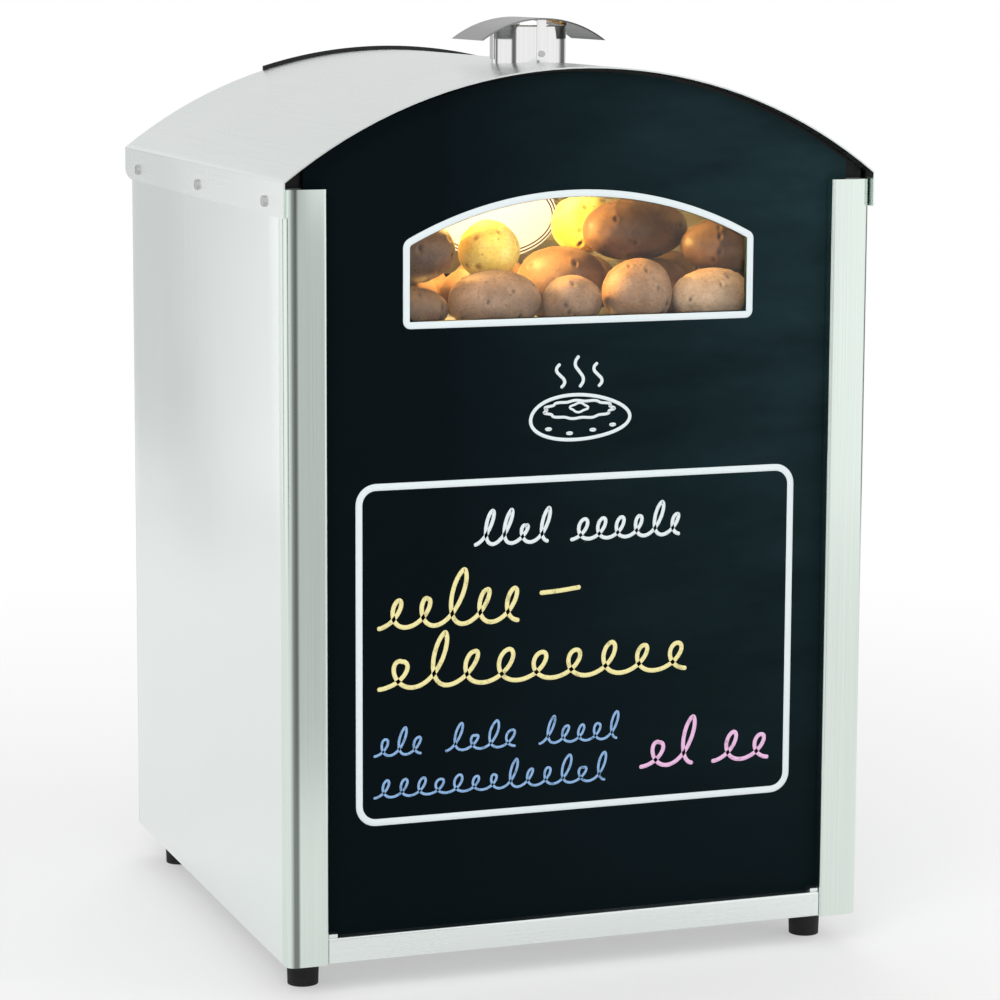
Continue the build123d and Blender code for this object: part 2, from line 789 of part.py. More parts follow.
# ------------------------------------------------------------------ runners and shelves
shelf_count = 3
first_shelf = 56.0  # cavity floor to the lowest ledge
shelf_rod = 3.0
cross_rod = 2.0
rod_gaps = 14
ledge_width = 14.0
runner_sheet = 1.5
runner_end_gap = 6.0
runner_below = 20.0  # lowest ledge to the plate's lower edge
runner_above = 30.0  # highest ledge to the plate's upper edge
shelf_side_gap = 2.0
shelf_front_inset = 2.0  # runner's end to the shelf's end
shelf_rear_inset = 3.0
runner_y0 = baffle_y + sheet + runner_end_gap
runner_y1 = frame_inner - runner_end_gap
shelf_y0 = runner_y0 + shelf_front_inset
shelf_y1 = runner_y1 - shelf_rear_inset
shelf_pitch = (cavity_top - cavity_bottom - first_shelf) / shelf_count
ledges = [cavity_bottom + first_shelf + i * shelf_pitch for i in range(shelf_count)]
shelf_half = cavity_half - runner_sheet - shelf_side_gap


def shelf_runner(side):
    """A side plate that carries one ledge under each shelf."""
    with BuildPart() as runner:
        x0, x1 = sorted((side * (cavity_half - runner_sheet), side * cavity_half))
        add(block(x0, x1, runner_y0, runner_y1, ledges[0] - runner_below, ledges[-1] + runner_above))
        for z in ledges:
            x0, x1 = sorted((side * (cavity_half - ledge_width), side * cavity_half))
            add(block(x0, x1, runner_y0, runner_y1, z - runner_sheet, z))
    return runner.part


save_group([shelf_runner(-1), shelf_runner(1)], "shelf_runners")


def wire_shelf(ledge):
    """A wire shelf: a round-rod frame with lighter rods across it."""
    z = ledge + soft_gap + shelf_rod
    reach = shelf_half - shelf_rod
    first_y = shelf_y0 + shelf_rod
    last_y = shelf_y1 - shelf_rod
    with BuildPart() as shelf:
        for x in (-reach, reach):
            add(rod_y(shelf_rod, x, shelf_y0, shelf_y1, z))
        for y in (first_y, last_y):
            add(rod_x(shelf_rod, -reach, reach, y, z))
        for i in range(1, rod_gaps):
            y = first_y + i * (last_y - first_y) / rod_gaps
            add(rod_x(cross_rod, -reach, reach, y, z))
    return shelf.part


for ledge, name in zip(ledges, ("lower_shelf", "middle_shelf", "upper_shelf")):
    save(wire_shelf(ledge), name)

# ------------------------------------------------------------------ rear frame
opening_crown_gap = 4.0  # display liner to the opening's arch
opening_sill = 2.0  # display floor to the opening's lower edge
opening_radius = liner_radius - liner_sheet - opening_crown_gap
opening_bottom = floor_top + opening_sill
frame_half = panel_half - soft_gap
panel_below = 7.0  # frame's lower edge to the control panel
panel_above = 3.0  # control panel to the oven compartment
panel_bottom = foot_height + panel_below
panel_top = control_top - panel_above
panel_plate = 1.5
panel_side = 10.0  # frame edge to the control panel's edge
panel_cut = 18.0  # control panel's edge to the frame's cut-out behind it
panel_width = frame_half - panel_side
panel_screw_inset = 9.5
panel_screw_places = [
    (side * (panel_width - panel_screw_inset), z)
    for side in (-1, 1)
    for z in (panel_bottom + panel_screw_inset, panel_top - panel_screw_inset)
]
with BuildPart() as rear_frame:
    back = upright(rear)
    extrude(arched_face(back, frame_half, foot_height, roof_radius - sheet - soft_gap), amount=sheet)
    openings = [
        arched_face(back, display_opening_half_width, opening_bottom, opening_radius),
        box_face(back, -cavity_half, cavity_half, cavity_bottom, cavity_top),
        box_face(
            back,
            -panel_width + panel_cut,
            panel_width - panel_cut,
            panel_bottom + panel_cut,
            panel_top - panel_cut,
        ),
    ]
    for face in openings:
        extrude(face, amount=sheet, mode=Mode.SUBTRACT)
    for x, z in frame_screw_places + panel_screw_places:
        add(rod_y(screw_hole, x, frame_inner, rear, z), mode=Mode.SUBTRACT)
save(rear_frame.part, "rear_frame")


# ------------------------------------------------------------------ control panel
switch_x = (170.0, 128.0)
lamp_places = (92.0, 68.0)
thermostat_x = 10.0
timer_x = -80.0
gland_x = -185.0
control_z = (panel_bottom + panel_top) / 2
panel_face = rear + panel_plate
bezel_half_x = 11.0
bezel_half_z = 15.0
bezel_plate = 2.0
housing_half_x = 9.3
housing_half_z = 13.3
housing_depth = 22.0
spindle_radius = 3.0
spindle_hole = 4.0
lens_radius = 4.0
gland_thread = 8.0
with BuildPart() as control_panel:
    add(block(-panel_width, panel_width, rear, panel_face, panel_bottom, panel_top))
    for x in switch_x:
        cut = block(
            x - housing_half_x - soft_gap,
            x + housing_half_x + soft_gap,
            rear,
            panel_face,
            control_z - housing_half_z - soft_gap,
            control_z + housing_half_z + soft_gap,
        )
        add(cut, mode=Mode.SUBTRACT)
    for x in lamp_places:
        add(rod_y(lens_radius + soft_gap, x, rear, panel_face, control_z), mode=Mode.SUBTRACT)
    for x in (thermostat_x, timer_x):
        add(rod_y(spindle_hole, x, rear, panel_face, control_z), mode=Mode.SUBTRACT)
    add(rod_y(gland_thread + soft_gap, gland_x, rear, panel_face, control_z), mode=Mode.SUBTRACT)
    for x, z in panel_screw_places:
        add(rod_y(screw_hole, x, rear, panel_face, z), mode=Mode.SUBTRACT)
save(control_panel.part, "control_panel")

frame_screws = screws_y(frame_screw_places, rear, screw_length)
panel_screws = screws_y(panel_screw_places, panel_face, screw_length)

# knobs, their spindles and what the spindles turn
knob_radius = 20.0
knob_skirt = 4.0
knob_length = 18.0
knob_gap = 0.5
knob_step = 3.0
knob_rounding = 1.5
grip_inset = 4.0
grip_width = 9.0
grip_height = 10.0
spindle_inside = 12.0
spindle_end_gap = 1.0
spindle_reach = 10.0
regulator_half = 19.0
regulator_depth = 30.0


def control_knob(x):
    """A round knob with a raised finger grip across it and a blind bore for its spindle."""
    y0 = panel_face + knob_gap
    y1 = y0 + knob_length
    with BuildPart() as knob:
        add(rod_y(knob_radius, x, y0, y0 + knob_skirt, control_z))
        add(rod_y(knob_radius - knob_step, x, y0 + knob_skirt, y0 + knob_length / 2, control_z))
        fillet(knob.edges().filter_by(GeomType.CIRCLE).group_by(Axis.Y)[-1], radius=knob_rounding)
        with BuildSketch(upright(y1)):
            with Locations((x, control_z)):
                SlotOverall(2 * (knob_radius - grip_inset), grip_width, rotation=90)
        extrude(amount=grip_height)
        add(rod_y(spindle_radius, x, y0, y0 + spindle_reach, control_z), mode=Mode.SUBTRACT)
    return knob.part


def spindle(x):
    """The spindle from inside the regulator to the bottom of the knob's bore."""
    y1 = panel_face + knob_gap + spindle_reach
    return rod_y(spindle_radius, x, rear - spindle_inside, y1, control_z)


def regulator(x):
    """The switch body behind the panel, with the bearing that the spindle turns in."""
    with BuildPart() as body:
        add(
            block(
                x - regulator_half,
                x + regulator_half,
                rear - regulator_depth,
                rear,
                control_z - regulator_half,
                control_z + regulator_half,
            )
        )
        y0 = rear - spindle_inside - spindle_end_gap
        add(rod_y(spindle_radius + running_gap, x, y0, rear, control_z), mode=Mode.SUBTRACT)
    return body.part


save_group([regulator(thermostat_x), regulator(timer_x)], "regulators")
for name, x in (("thermostat", thermostat_x), ("timer", timer_x)):
    save_group([control_knob(x), spindle(x)], f"{name}_knob")

# rocker switches
rocker_half_x = 6.8
rocker_half_z = 10.2
rocker_tilt = 6.0
rocker_axis_depth = 5.0  # behind the bezel's face
rocker_inside = 4.0  # pivot to the rocker's inner side
rocker_outside = 6.5  # pivot to the rocker's ends
rocker_dip = 2.0
rocker_taper = 3.0
pocket_half_x = 7.3
pocket_half_z = 11.6
pocket_depth = 12.0
rocker_axis_y = panel_face + bezel_plate - rocker_axis_depth


def switch_housing(x):
    """A snap-in switch case with a bezel and a pocket for the rocker."""
    with BuildPart() as case:
        add(
            block(
                x - housing_half_x,
                x + housing_half_x,
                panel_face - housing_depth,
                panel_face,
                control_z - housing_half_z,
                control_z + housing_half_z,
            )
        )
        add(
            block(
                x - bezel_half_x,
                x + bezel_half_x,
                panel_face,
                panel_face + bezel_plate,
                control_z - bezel_half_z,
                control_z + bezel_half_z,
            )
        )
        pocket = block(
            x - pocket_half_x,
            x + pocket_half_x,
            panel_face + bezel_plate - pocket_depth,
            panel_face + bezel_plate,
            control_z - pocket_half_z,
            control_z + pocket_half_z,
        )
        add(pocket, mode=Mode.SUBTRACT)
    return case.part


def switch_rocker(x):
    """A rocker with a shallow V face, tipped to its off position about the pivot."""
    tipped = Plane(
        origin=(x - rocker_half_x, rocker_axis_y, control_z),
        x_dir=(0, cos(radians(rocker_tilt)), -sin(radians(rocker_tilt))),
        z_dir=(1, 0, 0),
    )
    with BuildPart() as rocker:
        with BuildSketch(tipped):
            with BuildLine():
                Polyline(
                    (-rocker_inside, -rocker_half_z + rocker_taper),
                    (rocker_outside, -rocker_half_z),
                    (rocker_outside - rocker_dip, 0),
                    (rocker_outside, rocker_half_z),
                    (-rocker_inside, rocker_half_z - rocker_taper),
                    close=True,
                )
            make_face()
        extrude(amount=2 * rocker_half_x)
    return rocker.part


save_group([switch_housing(x) for x in switch_x], "switch_housings")
for name, x in (("oven", switch_x[0]), ("light", switch_x[1])):
    save(switch_rocker(x), f"{name}_switch_rocker")

lens_inside = 16.0
lens_rim = 1.5
lens_rim_width = 2.0
lens_dome = 3.5
with BuildPart() as indicator_lamps:
    for x in lamp_places:
        add(rod_y(lens_radius, x, panel_face - lens_inside, panel_face + lens_rim, control_z))
        add(rod_y(lens_radius + lens_rim_width, x, panel_face, panel_face + lens_rim, control_z))
        with Locations((x, panel_face + lens_rim, control_z)):
            Sphere(radius=lens_dome, rotation=(-90, 0, 0), arc_size1=0)
save(indicator_lamps.part, "indicator_lamps")

# mains lead gland and terminal block
gland_bore = 4.6
gland_flange = 12.0
gland_flange_depth = 10.0
gland_inside = 14.0
gland_nut = 5.0
gland_chamfer = 1.5
gland_y0 = rear - gland_inside
gland_y1 = panel_face + gland_flange_depth
with BuildPart() as lead_gland:
    add(rod_y(gland_thread, gland_x, gland_y0, panel_face, control_z))
    with BuildSketch(upright(rear)):
        with Locations((gland_x, control_z)):
            RegularPolygon(radius=gland_flange, side_count=6)
    extrude(amount=gland_nut)
    with BuildSketch(upright(gland_y1)):
        with Locations((gland_x, control_z)):
            RegularPolygon(radius=gland_flange, side_count=6)
    extrude(amount=gland_flange_depth)
    chamfer(lead_gland.faces().sort_by(Axis.Y)[-1].edges(), length=gland_chamfer)
    add(rod_y(gland_bore, gland_x, gland_y0, gland_y1, control_z), mode=Mode.SUBTRACT)
save(lead_gland.part, "lead_gland")

terminal_offset = (35.0, 50.0)  # beside the gland, and in front of the rear frame
terminal_x = gland_x + terminal_offset[0]
terminal_y = rear - terminal_offset[1]
terminal_half = 32.0
terminal_foot_half = 12.0
terminal_foot_height = 14.0
terminal_ridge_half = 6.0
terminal_ridge_height = 6.0
terminal_ways = 5
terminal_pitch = 12.5
terminal_screw_radius = 2.4
with BuildPart() as terminal_block:
    x0 = terminal_x - terminal_half
    x1 = terminal_x + terminal_half
    ridge_z0 = base_top + terminal_foot_height
    ridge_z1 = ridge_z0 + terminal_ridge_height
    y0, y1 = (terminal_y - terminal_foot_half, terminal_y + terminal_foot_half)
    add(block(x0, x1, y0, y1, base_top, ridge_z0))
    y0, y1 = (terminal_y - terminal_ridge_half, terminal_y + terminal_ridge_half)
    add(block(x0, x1, y0, y1, ridge_z0, ridge_z1))
    with Locations((terminal_x, terminal_y, (ridge_z0 + ridge_z1) / 2)):
        with GridLocations(terminal_pitch, 0, terminal_ways, 1):
            Cylinder(radius=terminal_screw_radius, height=terminal_ridge_height, mode=Mode.SUBTRACT)
save(terminal_block.part, "terminal_block")

# ------------------------------------------------------------------ oven door
door_half = cavity_half + door_overlap
door_bottom = cavity_bottom - door_overlap
door_top = cavity_top + door_overlap
door_y0 = rear + gasket_thickness
door_y1 = door_y0 + door_thickness
door_edge_radius = 3.0
hinge_behind = 10.0  # door's inner face to the hinge axis
hinge_y = door_y0 + hinge_behind
hinge_z = door_bottom + hinge_above_door_edge
pin_bite = 12.0
pin_end = 1.5
pin_inner = door_half - pin_bite
bracket_gap = 2.0
bracket_sheet = 3.0
bracket_half = 9.0
bracket_foot = 14.0
bracket_rise = 24.0  # hinge axis to the foot's upper edge
pin_outer = door_half + bracket_gap + bracket_sheet + pin_end
with BuildPart() as oven_door_pan:
    add(block(-door_half, door_half, door_y0, door_y1, door_bottom, door_top))
    fillet(oven_door_pan.faces().sort_by(Axis.Y)[-1].edges(), radius=door_edge_radius)
    add(
        block(
            -door_half + sheet,
            door_half - sheet,
            door_y0,
            door_y1 - sheet,
            door_bottom + sheet,
            door_top - sheet,
        ),
        mode=Mode.SUBTRACT,
    )
    add(rod_x(hinge_pin_radius, -door_half, door_half, hinge_y, hinge_z), mode=Mode.SUBTRACT)
save(oven_door_pan.part, "oven_door_pan")

lining_half = door_half - sheet
with BuildPart() as oven_door_inner:
    add(block(-lining_half, lining_half, door_y0, door_y0 + sheet, door_bottom + sheet, door_top - sheet))
save(oven_door_inner.part, "oven_door_inner")

fill_gap = 2.0
with BuildPart() as oven_door_insulation:
    add(
        block(
            -lining_half + fill_gap,
            lining_half - fill_gap,
            door_y0 + sheet,
            door_y1 - sheet,
            door_bottom + sheet + fill_gap,
            door_top - sheet - fill_gap,
        )
    )
    for side in (-1, 1):
        x0, x1 = sorted((side * pin_inner, side * door_half))
        add(rod_x(hinge_pin_radius, x0, x1, hinge_y, hinge_z), mode=Mode.SUBTRACT)
save(oven_door_insulation.part, "oven_door_insulation")

gasket_gap = 2.0  # oven opening to the gasket
gasket_inner_half = cavity_half + gasket_gap
gasket_low = hinge_z + soft_gap
gasket_high = cavity_top + gasket_gap
gasket_outer = (
    -gasket_inner_half - gasket_width,
    gasket_inner_half + gasket_width,
    gasket_low,
    gasket_high + gasket_width,
)
with BuildPart() as oven_door_gasket:
    back = upright(door_y0)
    extrude(box_face(back, *gasket_outer), amount=gasket_thickness - soft_gap)
    hole = box_face(back, -gasket_inner_half, gasket_inner_half, gasket_low + gasket_width, gasket_high)
    extrude(hole, amount=gasket_thickness - soft_gap, mode=Mode.SUBTRACT)
save(oven_door_gasket.part, "oven_door_gasket")

with BuildPart() as oven_hinge_pins:
    add(rod_x(hinge_pin_radius, pin_inner, pin_outer, hinge_y, hinge_z))
    mirror(about=Plane.YZ)
save(oven_hinge_pins.part, "oven_hinge_pins")

bracket_x0 = door_half + bracket_gap
with BuildPart() as oven_hinge_brackets:
    x1 = bracket_x0 + bracket_sheet
    z0, z1 = (hinge_z - bracket_half, hinge_z + bracket_half)
    add(block(bracket_x0, x1, rear, hinge_y + bracket_half, z0, z1))
    add(block(bracket_x0, bracket_x0 + bracket_foot, rear, rear + bracket_sheet, z0, hinge_z + bracket_rise))
    add(rod_x(hinge_pin_radius + running_gap, bracket_x0, x1, hinge_y, hinge_z), mode=Mode.SUBTRACT)
    mirror(about=Plane.YZ)

handle_drop = 32.0  # door's upper edge to the handle's axis
handle_rounding = 3.0
handle_y = door_y1 + handle_standoff
handle_z = door_top - handle_drop
post_inset = 24.0
post_x = handle_length / 2 - post_inset
post_radius = 5.0
post_bite = 4.0
with BuildPart() as oven_handle:
    add(rod_x(handle_radius, -handle_length / 2, handle_length / 2, handle_y, handle_z))
    fillet(oven_handle.edges().filter_by(GeomType.CIRCLE), radius=handle_rounding)
    for x in (-post_x, post_x):
        hole = rod_y(post_radius, x, handle_y - handle_radius, handle_y - post_bite, handle_z)
        add(hole, mode=Mode.SUBTRACT)

with BuildPart() as handle_posts:
    for x in (-post_x, post_x):
        add(rod_y(post_radius, x, door_y1, handle_y - post_bite, handle_z))
save_group([oven_handle.part, handle_posts.part], "oven_handle")

catch_half = 14.0
catch_y1 = door_y0 - soft_gap
catch_z0 = gasket_high + gasket_width + soft_gap
catch_z1 = door_top - 1.0
with BuildPart() as oven_door_catch:
    add(block(-catch_half, catch_half, rear, catch_y1, catch_z0, catch_z1))

# ------------------------------------------------------------------ display door
plate_gap = 1.0  # roof's rear edge to the door's plate
plate_lap = 12.0  # plate below the opening
plate_sheet = 2.0
plate_y0 = rear + roof_overhang + plate_gap
plate_y1 = plate_y0 + plate_sheet
plate_bottom = opening_bottom - plate_lap
pan_sheet = 1.0
pan_gap = 4.0
pan_half = display_opening_half_width - pan_gap
pan_radius = opening_radius - pan_gap
pan_bottom = opening_bottom + pan_gap
pan_reach = 5.0  # inside the rear frame
pan_y0 = rear - pan_reach
with BuildPart() as display_door:
    back = upright(plate_y1)
    face = arched_face(back, display_door_half_width, plate_bottom, roof_radius + display_door_rise)
    extrude(face, amount=plate_sheet)
save(display_door.part, "display_door")

with BuildPart() as display_door_pan:
    back = upright(plate_y0)
    extrude(arched_face(back, pan_half, pan_bottom, pan_radius), amount=plate_y0 - pan_y0)
    hollow = arched_face(back, pan_half - pan_sheet, pan_bottom + pan_sheet, pan_radius - pan_sheet)
    extrude(hollow, amount=plate_y0 - pan_y0 - pan_sheet, mode=Mode.SUBTRACT)
save(display_door_pan.part, "display_door_pan")

knuckle_radius = 4.0
knuckle_height = 12.0
knuckle_gap = 5.0  # door's edge to the hinge axis
knuckle_x = -display_door_half_width - knuckle_gap
knuckle_y = plate_y1 + knuckle_radius
door_pin_radius = 2.0
door_pin_end = 1.0
pin_head_radius = 3.0
pin_head_height = 2.0
leaf_sheet = 1.5
leaf_length = 28.0
knuckle_heights = [plate_bottom + rise for rise in (36.0, 136.0)]
with BuildPart() as display_hinge_leaves:
    for z in knuckle_heights:
        z1 = z + knuckle_height
        add(rod_z(knuckle_radius, knuckle_x, knuckle_y, z, z1))
        add(block(knuckle_x, knuckle_x + leaf_length, plate_y1, plate_y1 + leaf_sheet, z, z1))
        add(rod_z(door_pin_radius, knuckle_x, knuckle_y, z, z1), mode=Mode.SUBTRACT)

with BuildPart() as display_hinge_pins:
    for z in knuckle_heights:
        z0, z1 = (z - knuckle_height, z + knuckle_height)
        add(rod_z(door_pin_radius, knuckle_x, knuckle_y, z0, z1 + door_pin_end))
        add(rod_z(pin_head_radius, knuckle_x, knuckle_y, z1, z1 + pin_head_height))
save_group([display_hinge_leaves.part, display_hinge_pins.part], "display_hinges")

arm_x0 = knuckle_x - knuckle_radius
arm_sheet = 2.0
arm_foot = 16.0
arm_foot_rise = 14.0
with BuildPart() as display_hinge_brackets:
    for z in knuckle_heights:
        z0 = z - knuckle_height - soft_gap
        z1 = z - soft_gap
        add(block(arm_x0, arm_x0 + arm_sheet, rear, knuckle_y, z0, z1))
        add(block(arm_x0 - arm_foot, arm_x0 + arm_sheet, rear, rear + arm_sheet, z0, z1 + arm_foot_rise))
        add(rod_z(knuckle_radius, knuckle_x, knuckle_y, z0, z1))
        add(rod_z(door_pin_radius + running_gap, knuckle_x, knuckle_y, z0, z1), mode=Mode.SUBTRACT)
save_group([oven_hinge_brackets.part, display_hinge_brackets.part], "hinge_brackets")

pull_inset = 22.0
pull_rise = 91.55  # plate's lower edge to the pull
pull_x = display_door_half_width - pull_inset
pull_z = plate_bottom + pull_rise
pull_radius = 12.0
pull_length = 24.0
pull_rounding = 5.0
pull_foot = 8.0
pull_neck_radius = 6.0
pull_neck_end = 8.0
pull_swell = 14.0  # plate to the pull's full radius
with BuildPart() as display_door_knob:
    with BuildSketch(Plane(origin=(pull_x, plate_y1, pull_z), x_dir=(1, 0, 0), z_dir=(0, 0, 1))):
        with BuildLine():
            Polyline(
                (pull_radius - pull_rounding, pull_length),
                (0, pull_length),
                (0, 0),
                (pull_foot, 0),
                (pull_neck_radius, pull_neck_end),
                (pull_radius, pull_swell),
                (pull_radius, pull_length - pull_rounding),
            )
            corner = (pull_radius - pull_rounding, pull_length)
            RadiusArc((pull_radius, pull_length - pull_rounding), corner, pull_rounding)
        make_face()
    revolve(axis=Axis((pull_x, plate_y1, pull_z), (0, 1, 0)))
save(display_door_knob.part, "display_door_knob")

magnet_gap = 3.0
magnet_width = 7.0
magnet_half = 15.0
magnet_x0 = display_opening_half_width + magnet_gap
magnet_x1 = magnet_x0 + magnet_width
with BuildPart() as display_door_magnet:
    z0, z1 = (pull_z - magnet_half, pull_z + magnet_half)
    add(block(magnet_x0, magnet_x1, rear, plate_y0 - soft_gap, z0, z1))
save_group([oven_door_catch.part, display_door_magnet.part], "door_catches")

# ------------------------------------------------------------------ flue
flue_y = front + flue_depth
flue_top = crown + flue_top_above_crown
flue_below_liner = 4.0
flue_bottom = arc_height(liner_radius - liner_sheet, flue_radius) - flue_below_liner
cowl_radius = ((cowl_width / 2) ** 2 + cowl_rise**2) / (2 * cowl_rise)
cowl_top = crown + cowl_above_crown
cowl_centre = cowl_top - cowl_radius
cowl_end = cowl_top - cowl_rise
rim_gap = 0.15  # pipe's rim to the cowl, whose underside falls away from the middle
with BuildPart() as flue_pipe:
    add(rod_z(flue_radius, 0, flue_y, flue_bottom, flue_top))
    add(rod_z(flue_radius - flue_wall, 0, flue_y, flue_bottom, flue_top), mode=Mode.SUBTRACT)
    y0, y1 = (flue_y - flue_radius - flue_wall, flue_y + flue_radius + flue_wall)
    add(rod_y(cowl_radius - sheet - rim_gap, 0, y0, y1, cowl_centre), mode=Mode.INTERSECT)
save(flue_pipe.part, "flue_pipe")

strap_width = 8.0
strap_sheet = 1.0
strap_above_crown = 2.0
with BuildPart() as flue_cowl:
    half = cowl_width / 2
    inner = cowl_radius - sheet
    half_inside = sqrt(inner**2 - (cowl_end - cowl_centre) ** 2)
    with BuildSketch(upright(flue_y + cowl_depth / 2)):
        with BuildLine():
            ThreePointArc((-half, cowl_end), (0, cowl_top), (half, cowl_end))
            Line((half, cowl_end), (half_inside, cowl_end))
            ThreePointArc((half_inside, cowl_end), (0, cowl_top - sheet), (-half_inside, cowl_end))
            Line((-half_inside, cowl_end), (-half, cowl_end))
        make_face()
    extrude(amount=cowl_depth)
save(flue_cowl.part, "flue_cowl")


def under_cowl(x):
    """Height of the cowl's underside at a distance x from the middle."""
    return cowl_centre + sqrt((cowl_radius - sheet) ** 2 - x**2)


with BuildPart() as flue_straps:
    strap_foot = crown + strap_above_crown
    reach = flue_radius + strap_sheet
    top = under_cowl(strap_width / 2) - soft_gap
    for y in (-1, 1):
        y0, y1 = sorted((flue_y + y * flue_radius, flue_y + y * reach))
        add(block(-strap_width / 2, strap_width / 2, y0, y1, strap_foot, top))
    side_top = under_cowl(reach) - soft_gap
    for x in (-1, 1):
        x0, x1 = sorted((x * flue_radius, x * reach))
        y0, y1 = (flue_y - strap_width / 2, flue_y + strap_width / 2)
        add(block(x0, x1, y0, y1, strap_foot, side_top))
save(flue_straps.part, "flue_straps")

strap_screw_rise = 7.0  # above the roof's crown
strap_screw_head = 2.6
strap_screw_height = 1.5
with BuildPart() as flue_screws:
    for side in (-1, 1):
        y0, y1 = sorted((flue_y + side * reach, flue_y + side * (reach + strap_screw_height)))
        add(rod_y(strap_screw_head, 0, y0, y1, crown + strap_screw_rise))
fasteners = [foot_bolts.part, roof_screws, frame_screws, panel_screws, flue_screws.part]
save_group(fasteners, "fasteners")

# ------------------------------------------------------------------ potatoes on display
# middle x, depth behind the trims, length, thickness, heading of the long axis in degrees
potatoes = [
    (-132, 50, 68, 38, 8),
    (-59, 50, 76, 50, -4),
    (7, 48, 52, 44, 20),
    (64, 54, 57, 56, 0),
    (129, 52, 70, 46, 5),
    (-124, 112, 72, 50, 10),
    (-50, 114, 66, 48, -10),
    (22, 112, 76, 62, -4),
    (98, 108, 72, 50, 6),
    (172, 110, 68, 50, -8),
    (-96, 168, 74, 50, 0),
    (-20, 170, 74, 50, 12),
    (56, 170, 74, 50, -6),
    (132, 168, 74, 52, 4),
    (-119, 80, 70, 50, -10),
    (-52, 84, 54, 48, 40),
    (153, 84, 70, 46, -14),
    (90, 122, 96, 52, 8),
    (66, 178, 56, 50, 10),
]
grid_step = 1.0


def spheroid_height(potato, xs, ys):
    """How far a potato's surface lies above or below its middle over each point, else nan."""
    x, depth, length, thickness, heading = potato
    along = (xs - x) * cos(radians(heading)) + (ys - depth) * sin(radians(heading))
    across = -(xs - x) * sin(radians(heading)) + (ys - depth) * cos(radians(heading))
    inside = 1 - (2 * along / length) ** 2 - (2 * across / thickness) ** 2
    return np.where(inside > 0, thickness / 2 * np.sqrt(np.clip(inside, 0, None)), np.nan)


def resting_height(potato, placed):
    """The height of a potato's middle when it is let down onto the floor and the ones placed."""
    x, depth, length, thickness, heading = potato
    steps = np.arange(-length / 2, length / 2 + grid_step, grid_step)
    xs, ys = np.meshgrid(x + steps, depth + steps)
    own = spheroid_height(potato, xs, ys)
    height = floor_top + thickness / 2
    for other, other_height in placed:
        contact = other_height + spheroid_height(other, xs, ys) + own
        if np.isfinite(contact).any():
            height = max(height, np.nanmax(contact))
    return float(height) + soft_gap


display_potatoes = []
placed = []
for potato in potatoes:
    x, depth, length, thickness, heading = potato
    z = resting_height(potato, placed)
    placed.append((potato, z))
    along = (cos(radians(heading)), sin(radians(heading)), 0)
    with BuildPart() as one_potato:
        with BuildSketch(Plane(origin=(x, front + depth, z), x_dir=along, z_dir=(0, 0, 1))):
            Ellipse(length / 2, thickness / 2)
            with Locations((0, -thickness / 4)):
                Rectangle(length, thickness / 2, mode=Mode.SUBTRACT)
        revolve(axis=Axis((x, front + depth, z), along))
    display_potatoes.append(one_potato.part)
save_group(display_potatoes, "display_potatoes")
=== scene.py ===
# %% [markdown]
# # A counter-top baked potato oven
# The oven is a folded stainless steel cabinet with an arched roof. Its front is a black
# writing board with a window into a lit display of baked potatoes, and its doors and
# controls are at the back. The metalwork is already modelled and comes in as a fixed frame.
# This lesson gives every part its finish and adds what metalwork can't show: the
# potatoes, the printed and chalked lines, the dial marks and the light.

import bmesh
import bpy
import numpy as np
from mathutils import Matrix, Vector


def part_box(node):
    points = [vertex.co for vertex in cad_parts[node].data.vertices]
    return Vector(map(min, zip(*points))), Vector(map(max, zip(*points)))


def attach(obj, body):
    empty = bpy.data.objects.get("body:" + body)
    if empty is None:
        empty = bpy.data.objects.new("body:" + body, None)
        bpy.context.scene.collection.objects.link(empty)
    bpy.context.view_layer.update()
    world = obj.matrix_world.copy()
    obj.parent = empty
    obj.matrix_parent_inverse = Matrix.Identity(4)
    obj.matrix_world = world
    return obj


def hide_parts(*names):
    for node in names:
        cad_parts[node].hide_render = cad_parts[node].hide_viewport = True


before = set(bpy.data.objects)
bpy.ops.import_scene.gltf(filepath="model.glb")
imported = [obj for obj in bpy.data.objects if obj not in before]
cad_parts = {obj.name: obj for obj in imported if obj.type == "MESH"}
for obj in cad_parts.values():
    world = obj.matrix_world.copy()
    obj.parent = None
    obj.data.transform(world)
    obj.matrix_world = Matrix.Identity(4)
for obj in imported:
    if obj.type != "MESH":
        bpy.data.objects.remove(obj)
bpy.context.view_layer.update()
mm = 0.001
scene = bpy.context.scene

# %% [markdown]
# ## The camera
# A product photographer stands well back with a long lens, so that upright edges stay
# nearly parallel. The camera could be aimed with a constraint, but its three axes are
# worked out here from a heading, a tilt and a small roll, because then the framing is exact.

# %% Place the camera
camera_place = (-0.97695, -2.78137, 0.81934)
heading, tilt_down, roll = 0.34667, 0.14358, 0.0045
ahead = np.array(
    [np.sin(heading) * np.cos(tilt_down), np.cos(heading) * np.cos(tilt_down), -np.sin(tilt_down)]
)
level_right = np.array([np.cos(heading), -np.sin(heading), 0.0])
level_up = np.cross(level_right, ahead)
camera_right = level_right * np.cos(roll) + level_up * np.sin(roll)
camera_up = np.cross(camera_right, ahead)
camera_data = bpy.data.cameras.new("camera")
camera_data.lens = 122.43
camera_data.sensor_width = 36.0
camera_data.shift_y = -0.05
camera = bpy.data.objects.new("camera", camera_data)
turned = np.eye(4)
turned[:3, :3] = np.stack([camera_right, camera_up, -ahead], axis=1)
turned[:3, 3] = camera_place
camera.matrix_world = Matrix(turned.tolist())
scene.collection.objects.link(camera)
scene.camera = camera
print("camera looks along", ahead.round(3))

# %% [markdown]
# ## Building node trees
# Materials are graphs of nodes. A short helper makes one node, sets its options and fills
# its inputs, with either plain values or links from other nodes, so that each material
# below reads as a list of steps.


